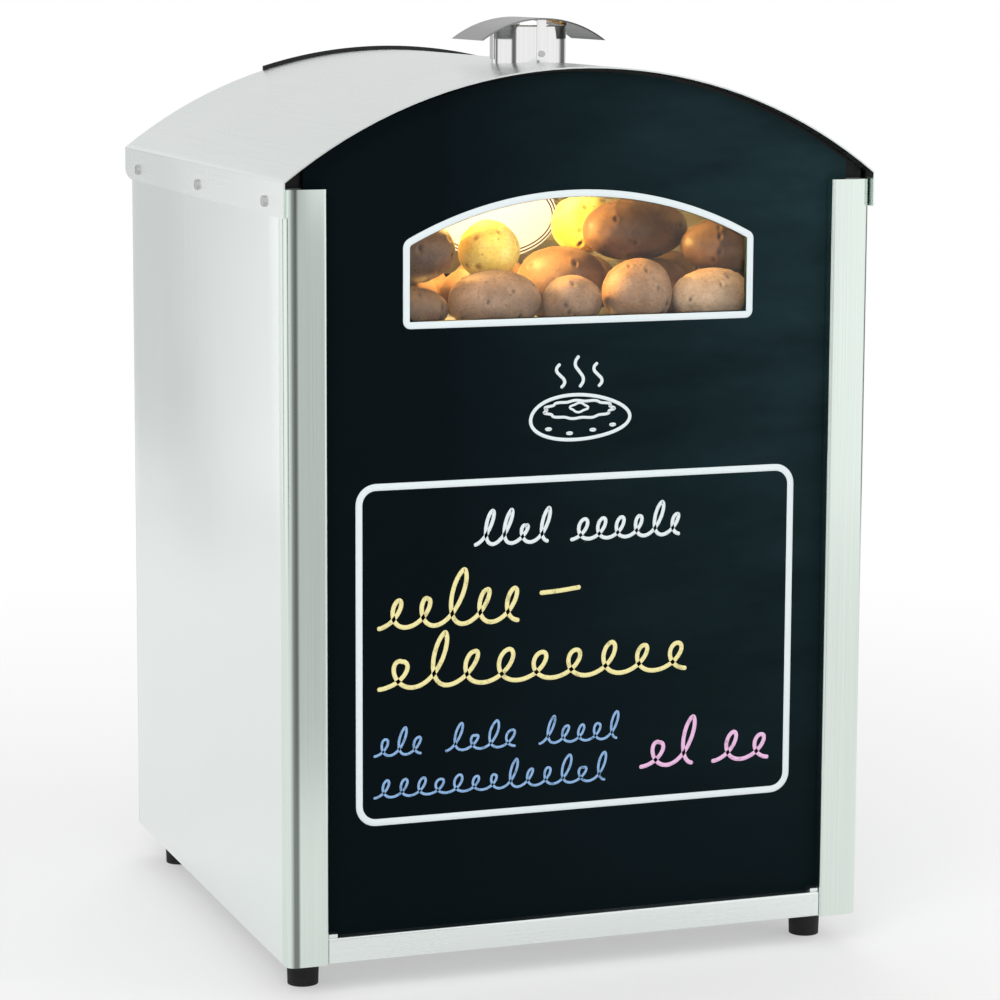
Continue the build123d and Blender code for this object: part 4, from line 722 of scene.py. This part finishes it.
# %% Place the potatoes
# x and y of the middle, length, thickness and heading, in millimetres and degrees
potato_places = [
    (-132, -226.5, 68, 38, 8),
    (-59, -226.5, 76, 50, -4),
    (7, -228.5, 52, 44, 20),
    (64, -222.5, 57, 56, 0),
    (129, -224.5, 70, 46, 5),
    (-124, -164.5, 72, 50, 10),
    (-50, -162.5, 66, 48, -10),
    (22, -164.5, 76, 62, -4),
    (98, -168.5, 72, 50, 6),
    (172, -166.5, 68, 50, -8),
    (-96, -108.5, 74, 50, 0),
    (-20, -106.5, 74, 50, 12),
    (56, -106.5, 74, 50, -6),
    (132, -108.5, 74, 52, 4),
    (-119, -196.5, 70, 50, -10),
    (-52, -192.5, 54, 48, 40),
    (153, -192.5, 70, 46, -14),
    (90, -154.5, 96, 52, 8),
    (66, -98.5, 56, 50, 10),
]
# Skins by potato: painted lamplight under the bulb, and tan, pale and brown partly painted light and shade.
skins = dict.fromkeys((16, 19), skin_painted_lamplight) | dict.fromkeys((2, 3, 4), skin_tan) | {5: skin_pale}
placed = []
for number, where in enumerate(potato_places, start=1):
    x, y, *shape = where
    z = settled_height(where, placed)
    placed.append((where, z))
    skin = skins.get(number, skin_brown)
    grid, marks = potato_grid(x, y, z, *shape, seed=number)
    potato = surface_piece(f"potato_{number:02d}", [grid], skin, marks=marks)
    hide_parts("display_potatoes")

# %% [markdown]
# ## Printed and drawn lines
# The white lines are printed on the board and the coloured ones are drawn with a chalk
# pen. Both are thin raised bands. A band follows a path on an upright plane: its section
# has sloping edges and a flat top, and it narrows to a point at a stroke's ends.


# %% Helper: bands along a path
def smooth_path(points, spacing=1.0):
    """A smooth curve through points: cubic pieces whose slope at a point is half the step
    between its two neighbours, sampled about every spacing millimetres."""
    points = np.asarray(points, float)
    padded = np.concatenate([2 * points[:1] - points[1:2], points, 2 * points[-1:] - points[-2:-1]])
    before, start, end, after = padded[:-3], padded[1:-2], padded[2:-1], padded[3:]
    length = np.linalg.norm(end - start, axis=1).sum()
    count = max(4, int(length / spacing / len(start)) + 1)
    s = np.linspace(0.0, 1.0, count, endpoint=False)[None, :, None]
    a0, a1, a2, a3 = (item[:, None, :] for item in (before, start, end, after))
    curve = a1 + 0.5 * s * (a2 - a0) + s**2 * (a0 - 2.5 * a1 + 2 * a2 - 0.5 * a3)
    curve = curve + s**3 * (1.5 * (a1 - a2) + 0.5 * (a3 - a0))
    return np.concatenate([curve.reshape(-1, 2), points[-1:]])


def band_grid(path, half_width, surface_y, closed=False, height=0.25, facing=-1.0):
    """Points of a raised band along a path of (x, z) points on the plane y = surface_y.

    Across the path the section runs from one edge, up a slope, over a flat top and down
    again. The width follows the square root of the distance from a stroke's ends.
    """
    path = np.asarray(path, float)
    if closed:
        slope = np.roll(path, -1, axis=0) - np.roll(path, 1, axis=0)
        share = np.ones(len(path))
    else:
        slope = np.gradient(path, axis=0)
        walked = np.concatenate([[0.0], np.linalg.norm(np.diff(path, axis=0), axis=1).cumsum()])
        nearest = np.minimum(walked, walked[-1] - walked)
        share = np.sqrt(np.clip(1 - (1 - np.clip(nearest / half_width, 0, 1)) ** 2, 0, 1))
    slope = slope / np.linalg.norm(slope, axis=1, keepdims=True)
    across = np.stack([-slope[:, 1], slope[:, 0]], axis=1)
    places = np.array([-1.0, -0.86, 0.86, 1.0])
    lifts = np.array([-0.05, height, height, -0.05])
    width = (half_width * share)[:, None] * places[None, :]
    flat = path[:, None, :] + width[:, :, None] * across[:, None, :]
    lift = lifts[None, :] * np.where(share > 0, 1.0, 0.0)[:, None] - 0.05 * (share[:, None] == 0)
    depth = surface_y + facing * lift
    return np.stack([flat[:, :, 0], depth, flat[:, :, 1]], axis=-1) * mm


def rounded_frame(x0, x1, z0, z1, radius, count=10):
    """A closed path round a rectangle with quarter-circle corners."""
    turn = np.linspace(0.0, np.pi / 2, count)
    corners = [
        (x1 - radius, z1 - radius, 0.0),
        (x0 + radius, z1 - radius, np.pi / 2),
        (x0 + radius, z0 + radius, np.pi),
        (x1 - radius, z0 + radius, 1.5 * np.pi),
    ]
    arcs = [
        np.stack([cx + radius * np.cos(turn + begin), cz + radius * np.sin(turn + begin)], axis=1)
        for cx, cz, begin in corners
    ]
    return np.concatenate(arcs)


# %% Printed white and chalk colours
def drawn_line(name, colour, worn_colour, coverage, rough):
    """Ink or chalk on the board: a grainy colour that lets the board show where it is thin."""
    made, tree, shader = new_material(name)
    place = step(tree, "ShaderNodeTexCoord").outputs["Object"]
    dust = step(
        tree, "ShaderNodeTexNoise", {"Vector": place, "Scale": 900.0, "Detail": 4.0, "Roughness": 0.75}
    )
    cloud = step(tree, "ShaderNodeTexNoise", {"Vector": place, "Scale": 120.0, "Detail": 3.0})
    both = step(
        tree, "ShaderNodeMath", {0: dust.outputs["Fac"], 1: cloud.outputs["Fac"]}, operation="ADD"
    ).outputs[0]
    thin = ranged(tree, both, 1.0, 0.0, coverage - 0.2, coverage)
    tree.links.new(blended(tree, thin, colour, worn_colour), shader.inputs["Base Color"])
    tree.links.new(ranged(tree, dust.outputs["Fac"], rough, rough + 0.15), shader.inputs["Roughness"])
    bump = step(tree, "ShaderNodeBump", {"Strength": 0.3, "Distance": 0.0002, "Height": dust.outputs["Fac"]})
    tree.links.new(bump.outputs["Normal"], shader.inputs["Normal"])
    shader.inputs["Specular IOR Level"].default_value = 0.2
    return made


ink_white = drawn_line("ink_white", (0.82, 0.9, 0.92, 1.0), (0.6, 0.7, 0.74, 1.0), 0.75, 0.4)
ink_black = drawn_line("ink_black", grey(0.015), grey(0.04), 0.75, 0.4)
chalk_yellow = drawn_line("chalk_yellow", (0.95, 0.86, 0.42, 1.0), (0.5, 0.45, 0.2, 1.0), 0.92, 0.8)
chalk_blue = drawn_line("chalk_blue", (0.3, 0.5, 0.8, 1.0), (0.1, 0.18, 0.32, 1.0), 0.95, 0.8)
chalk_pink = drawn_line("chalk_pink", (0.9, 0.56, 0.82, 1.0), (0.45, 0.25, 0.4, 1.0), 0.92, 0.8)

# %% [markdown]
# The window has a printed white border. Its path repeats the window's own outline a
# little further out: straight sides and a shallow arch with the window's centre.

# %% Window border and menu border
board_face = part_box("front_board")[0].y / mm
sill, arch_centre_z, arch_radius, window_half = 537.4, 327.7, 304.7, 143.3
menu_half, menu_low, menu_high, menu_corner = 185.6, 137.2, 407.5, 14.0
border_half_width = 2.9


def window_path(margin):
    """The closed path round the window, margin millimetres outside its edge, corners eased.

    The outline is resampled every 1.5 mm, and each point becomes the mean of its neighbours.
    """
    half, low = window_half + margin, sill - margin
    radius = arch_radius + margin
    reach = np.arcsin(half / radius)
    sweep = np.linspace(reach, -reach, 60)
    arch = np.stack([radius * np.sin(sweep), arch_centre_z + radius * np.cos(sweep)], axis=1)
    outline = np.concatenate([arch, [[-half, low], [half, low], arch[0]]])
    walked = np.concatenate([[0.0], np.linalg.norm(np.diff(outline, axis=0), axis=1).cumsum()])
    marks = np.arange(0.0, walked[-1], 1.5)
    even = np.stack([np.interp(marks, walked, outline[:, axis]) for axis in (0, 1)], axis=1)
    return np.mean([np.roll(even, shift, axis=0) for shift in (-2, -1, 0, 1, 2)], axis=0)


surface_piece(
    "window_border",
    [band_grid(window_path(border_half_width + 0.2), border_half_width, board_face, closed=True)],
    ink_white,
    wrap_rows=True,
)
menu_path = rounded_frame(-menu_half, menu_half, menu_low, menu_high, menu_corner)
surface_piece(
    "menu_border",
    [band_grid(menu_path, border_half_width, board_face, closed=True)],
    ink_white,
    wrap_rows=True,
)

# %% [markdown]
# Between window and menu stands a plain picture of what is sold: a split potato with a
# pat of butter, and steam. Each stroke is a smooth curve, and closed ones join up.

# %% Picture
picture_z = 437.0
turn = np.linspace(0.0, 2 * np.pi, 120, endpoint=False)


def closed_stroke(middle_x, middle_z, half_long, half_high, half_width, ripple=0.0, waves=3):
    """A closed line: an ellipse whose radius swells and shrinks a few times on the way round."""
    swell = 1 + ripple * np.cos(waves * turn + 0.5)
    x = middle_x + half_long * np.cos(turn) * swell
    z = picture_z + middle_z + half_high * np.sin(turn) * swell
    return band_grid(np.stack([x, z], axis=1), half_width, board_face, closed=True)


surface_piece(
    "potato_picture",
    [
        closed_stroke(-1.0, 19.0, 42.5, 18.0, 1.5, 0.035),
        closed_stroke(-1.0, 25.5, 29.0, 7.0, 1.2, 0.06, 11),
        closed_stroke(-1.0, 27.0, 7.0, 3.4, 1.0, 0.12, 4),
        closed_stroke(-27.0, 10.5, 2.2, 0.8, 0.8),
        closed_stroke(-9.0, 6.5, 2.2, 0.8, 0.8),
        closed_stroke(11.0, 8.5, 2.2, 0.8, 0.8),
        closed_stroke(28.0, 12.0, 2.2, 0.8, 0.8),
    ],
    ink_white,
    wrap_rows=True,
)
steam = []
for middle_x, low, high in ((-17.0, 43.0, 63.0), (-1.0, 43.0, 69.0), (15.0, 43.0, 63.0)):
    rise = np.linspace(0.0, 1.0, 7)
    sway = middle_x + 3.6 * np.sin(2 * np.pi * rise)
    climb = picture_z + low + (high - low) * rise
    steam.append(band_grid(smooth_path(np.stack([sway, climb], axis=1)), 1.4, board_face))
surface_piece("steam_curls", steam, ink_white)

# %% [markdown]
# The written rows stand for a hand-lettered heading and a chalked menu. They are scribbles
# that say nothing: a pen that rises and falls while it travels, and that loops where it
# turns at the top. Random numbers with a fixed seed keep them the same each time.


# %% Scribbled rows
def scribble(x0, x1, z0, z1, swings, seed, slant=0.3):
    """A looping stroke from x0 to x1 between two heights.

    The pen's height is a cosine whose size drifts from swing to swing. Its place along the
    line is the even travel plus a sine of the same rhythm, which turns each top into a loop.
    """
    draw = np.random.default_rng(seed)
    t = np.linspace(0.0, swings, swings * 24 + 1)
    knots = np.arange(swings + 1)
    size = np.interp(t, knots + 0.5, draw.choice([0.5, 0.6, 1.0], swings + 1))
    loop = np.interp(t, knots + 0.5, draw.uniform(0.33, 0.44, swings + 1))
    z = z0 + (z1 - z0) * 0.5 * size * (1.0 - np.cos(2 * np.pi * t))
    pitch = (x1 - x0 - slant * 0.5 * (z1 - z0)) / swings
    x = x0 + pitch * (t + loop * np.sin(2 * np.pi * t)) + slant * (z - z0)
    return smooth_path(np.stack([x, z], axis=1))


def written_row(name, words, z0, z1, half_width, material, seed):
    """Several scribbles on one row; words holds each one's start, end and swings, and a
    word without swings is a dash."""
    grids = []
    for number, (x0, x1, swings) in enumerate(words):
        middle = (z0 + z1) / 2
        dash = smooth_path([(x0, middle - 1.0), ((x0 + x1) / 2, middle), (x1, middle + 2.0)])
        path = scribble(x0, x1, z0, z1, swings, seed + number) if swings else dash
        grids.append(band_grid(path, half_width, board_face, height=0.35))
    return surface_piece(name, grids, material)


written_row("heading_row", [(-90, -22, 4), (-8, 92, 6)], 357.0, 384.0, 1.6, ink_white, 5)
written_row("chalk_row_1", [(-171, -44, 5), (-34, 2, 0)], 294.0, 338.0, 1.9, chalk_yellow, 11)
written_row("chalk_row_2", [(-171, 102, 9)], 245.0, 288.0, 1.9, chalk_yellow, 23)
written_row("chalk_row_3", [(-174, -130, 3), (-114, -50, 4), (-34, 38, 5)], 191.0, 213.0, 1.1, chalk_blue, 31)
written_row("chalk_row_4", [(-174, 28, 13)], 157.0, 180.0, 1.1, chalk_blue, 43)
written_row("chalk_row_5", [(54, 108, 2), (118, 176, 2)], 165.0, 204.0, 1.8, chalk_pink, 57)

# %% [markdown]
# ## Marks on the controls
# Behind the oven, each knob points at a printed scale. The ticks are short strokes spread
# evenly over the knob's travel, and a white line on the knob shows where it points.

# %% Dial marks
panel_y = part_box("control_panel")[1].y / mm
control_z, thermostat_x, timer_x = 78.0, 10.0, -80.0


def dial_marks(name, middle_x, travel, count):
    """Ticks round a knob, from straight up through its travel, clockwise seen from behind."""
    angles = np.radians(90.0 + np.linspace(0.0, travel, count))
    ticks = [
        band_grid(
            smooth_path(
                np.array([middle_x, control_z])
                + np.outer([22.0, 24.0, 26.0 if place % 3 else 28.0], [np.cos(angle), np.sin(angle)])
            ),
            0.55,
            panel_y,
            facing=1.0,
            height=0.12,
        )
        for place, angle in enumerate(angles)
    ]
    return surface_piece(name, ticks, ink_black)


dial_marks("thermostat_marks", thermostat_x, 270.0, 10)
dial_marks("timer_marks", timer_x, 300.0, 13)
for body, middle_x in (("thermostat_knob", thermostat_x), ("timer_knob", timer_x)):
    knob_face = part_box(body)[1].y / mm
    pointer = np.array([[middle_x, control_z + out] for out in (5.0, 10.0, 14.5)])
    surface_piece(
        f"{body}_pointer",
        [band_grid(smooth_path(pointer), 0.8, knob_face - 0.1, facing=1.0, height=0.15)],
        ink_white,
        body=body,
    )

# %% [markdown]
# The plate in the display has a thin line printed just inside its rim, an ellipse that
# follows the plate's own.

# %% Line on the display plate
plate_low, plate_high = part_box("sign_plate")
plate_x, plate_z = (plate_low.x + plate_high.x) / 2 / mm, 595.4
rims = [
    np.stack([plate_x + long * np.cos(turn), plate_z + high * np.sin(turn)], axis=1)
    for long, high in ((53.4, 31.9), (56.2, 34.7))
]
surface_piece(
    "plate_line",
    [band_grid(rim, 0.65, plate_low.y / mm, closed=True, height=0.1) for rim in rims],
    ink_black,
    wrap_rows=True,
)

# %% [markdown]
# ## Floor, backdrop and light
# The oven stands on a pale floor. Close to it the floor is plain matt paint, so that it
# takes the oven's shadow; further out it fades into the white of the backdrop, which
# reflections find a little greyer.

# %% Floor
floor_size, floor_drop = 2.4, 0.0005
ring = np.linspace(0.0, 2 * np.pi, 96, endpoint=False)
reach = np.array([0.0, 0.4, 0.9, 1.6, floor_size])
floor_points = np.stack(
    [
        reach[:, None] * np.cos(ring)[None, :],
        reach[:, None] * np.sin(ring)[None, :],
        np.full((len(reach), len(ring)), -floor_drop),
    ],
    axis=-1,
)
floor_mesh = bpy.data.meshes.new("floor")
floor_mesh.from_pydata(
    floor_points.reshape(-1, 3), [], grid_faces(len(reach), len(ring), False, True)
)
floor = bpy.data.objects.new("floor", floor_mesh)
scene.collection.objects.link(floor)
floor_paint, tree, shader = new_material("floor_paint")
shader.inputs["Base Color"].default_value = grey(0.94)
shader.inputs["Roughness"].default_value = 0.8
shader.inputs["Specular IOR Level"].default_value = 0.1
place = step(tree, "ShaderNodeTexCoord").outputs["Object"]
away = step(tree, "ShaderNodeVectorMath", {0: place}, operation="LENGTH").outputs["Value"]
light_path = step(tree, "ShaderNodeLightPath").outputs
pale = blended(tree, light_path["Is Glossy Ray"], grey(1.0), grey(0.84))
white = step(tree, "ShaderNodeEmission", {"Color": pale, "Strength": 1.0})
seen = any_of(
    tree, light_path["Is Camera Ray"], light_path["Is Glossy Ray"], light_path["Is Transmission Ray"]
)
far = ranged(tree, away, 0.4, 1.0, 0.3, 1.6)
share = times(tree, far, seen)
mixed = step(tree, "ShaderNodeMixShader", {0: share, 1: shader.outputs[0], 2: white.outputs[0]})
end_with(tree, mixed.outputs[0])
floor_mesh.materials.append(floor_paint)

# %% [markdown]
# Steel looks like what it reflects. The camera finds a white world, and rays that left a
# shiny surface find it white with dark gaps, as between a studio's lamps. The gaps were
# placed so that the flue and trims look as in the photograph. Matt surfaces get an even,
# softer light.

# %% World
world = bpy.data.worlds.new("studio")
scene.world = world
world.use_nodes = True
tree = world.node_tree
tree.nodes.clear()
direction = step(tree, "ShaderNodeTexCoord").outputs["Generated"]
parts = step(tree, "ShaderNodeSeparateXYZ", {"Vector": direction}).outputs
bearing = step(tree, "ShaderNodeMath", {0: parts["X"], 1: parts["Y"]}, operation="ARCTAN2").outputs[0]
lap = ranged(tree, bearing, 0.0, 1.0, -np.pi, np.pi)
walls = step(tree, "ShaderNodeValToRGB", {"Fac": lap})
stops = [
    (0.0, 1.0), (0.15, 1.0), (0.165, 0.15), (0.19, 0.15), (0.205, 1.0), (0.345, 1.0), (0.36, 0.2),
    (0.38, 0.2), (0.395, 1.0), (0.475, 1.0), (0.5, 0.8), (0.62, 0.85), (0.66, 0.15), (0.72, 0.15),
    (0.76, 1.0), (0.955, 1.0), (0.965, 0.15), (0.975, 0.15), (0.985, 1.0), (1.0, 1.0),
]
ramp = walls.color_ramp
ramp.elements[0].position, ramp.elements[0].color = stops[0][0], grey(stops[0][1])
ramp.elements[1].position, ramp.elements[1].color = stops[-1][0], grey(stops[-1][1])
for position, level in stops[1:-1]:
    ramp.elements.new(position).color = grey(level)
light_path = step(tree, "ShaderNodeLightPath").outputs
for_gloss = blended(tree, light_path["Is Glossy Ray"], grey(0.55), walls.outputs["Color"])
seen = any_of(tree, light_path["Is Camera Ray"], light_path["Is Transmission Ray"])
colour = blended(tree, seen, for_gloss, grey(1.0))
background = step(tree, "ShaderNodeBackground", {"Color": colour, "Strength": 1.0})
output = step(tree, "ShaderNodeOutputWorld")
tree.links.new(background.outputs[0], output.inputs["Surface"])

# %% [markdown]
# Three soft boxes light the oven from outside, and a bulb stands for the display's own lamp.
# The plate lamp and the front glow are two small lamps that the oven doesn't have. They lift
# the plate and a front potato, which the bulb alone leaves darker than in the photograph.


# %% Lamps
def soft_box(name, place, target, size, power, colour=(1.0, 1.0, 1.0)):
    """A square studio lamp at a place, turned to face a target."""
    data = bpy.data.lights.new(name, "AREA")
    data.shape = "SQUARE"
    data.size = size
    data.energy = power
    data.color = colour
    lamp = bpy.data.objects.new(name, data)
    lamp.location = place
    lamp.rotation_euler = (Vector(target) - Vector(place)).to_track_quat("-Z", "Y").to_euler()
    lamp.visible_glossy = False
    scene.collection.objects.link(lamp)
    return lamp


middle = (0.0, 0.0, 0.4)
soft_box("key", (-1.6, -2.2, 2.2), middle, 1.6, 34.0)
soft_box("fill", (2.2, -1.6, 1.4), middle, 1.8, 18.0)
soft_box("back", (0.6, 2.4, 2.2), middle, 1.8, 22.0)
bulb = bpy.data.lights.new("bulb", "POINT")
bulb.energy = 6.0
bulb.color = (1.0, 0.56, 0.14)
bulb.shadow_soft_size = 0.012
bulb_object = bpy.data.objects.new("bulb", bulb)
lamp_low, lamp_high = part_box("display_lamp")
bulb_object.location = ((lamp_low.x + lamp_high.x) / 2, (lamp_low.y + lamp_high.y) / 2, lamp_low.z - 0.014)
scene.collection.objects.link(bulb_object)
plate_lamp = soft_box("plate_lamp", (0.02, -0.09, 0.675), (0.03, 0.024, 0.595), 0.05, 0.2)
plate_lamp.visible_camera = False
front_glow = soft_box(
    "front_glow", (-0.05, -0.24, 0.624), (-0.05, -0.19, 0.585), 0.02, 0.012, (1.0, 0.85, 0.5)
)
front_glow.visible_camera = False

# %% [markdown]
# A sheet of steel shows what stands beside it. Two grey cards, seen only in reflections,
# give the side panel and the left trim their soft change of tone, as a photographer would.


# %% Grey cards
def grey_card(name, start, end, top, level):
    """An upright card from start to end on the floor. It shows one grey, and in reflections only."""
    corners = [(*start, 0.0), (*end, 0.0), (*end, top), (*start, top)]
    mesh = bpy.data.meshes.new(name)
    mesh.from_pydata(corners, [], [(0, 1, 2, 3)])
    card = bpy.data.objects.new(name, mesh)
    scene.collection.objects.link(card)
    made, tree, shader = new_material(f"{name}_paint")
    tree.nodes.remove(shader)
    glow = step(tree, "ShaderNodeEmission", {"Color": grey(level), "Strength": 1.0})
    end_with(tree, glow.outputs[0])
    mesh.materials.append(made)
    card.visible_camera = card.visible_diffuse = card.visible_transmission = card.visible_shadow = False


grey_card("side_card", (-0.75, 1.52), (-0.75, 3.8), 1.6, 0.55)
grey_card("front_card", (-0.22, -0.95), (0.16, -0.95), 0.58, 0.55)

# %% Plain view settings and the end
scene.view_settings.view_transform = "Standard"
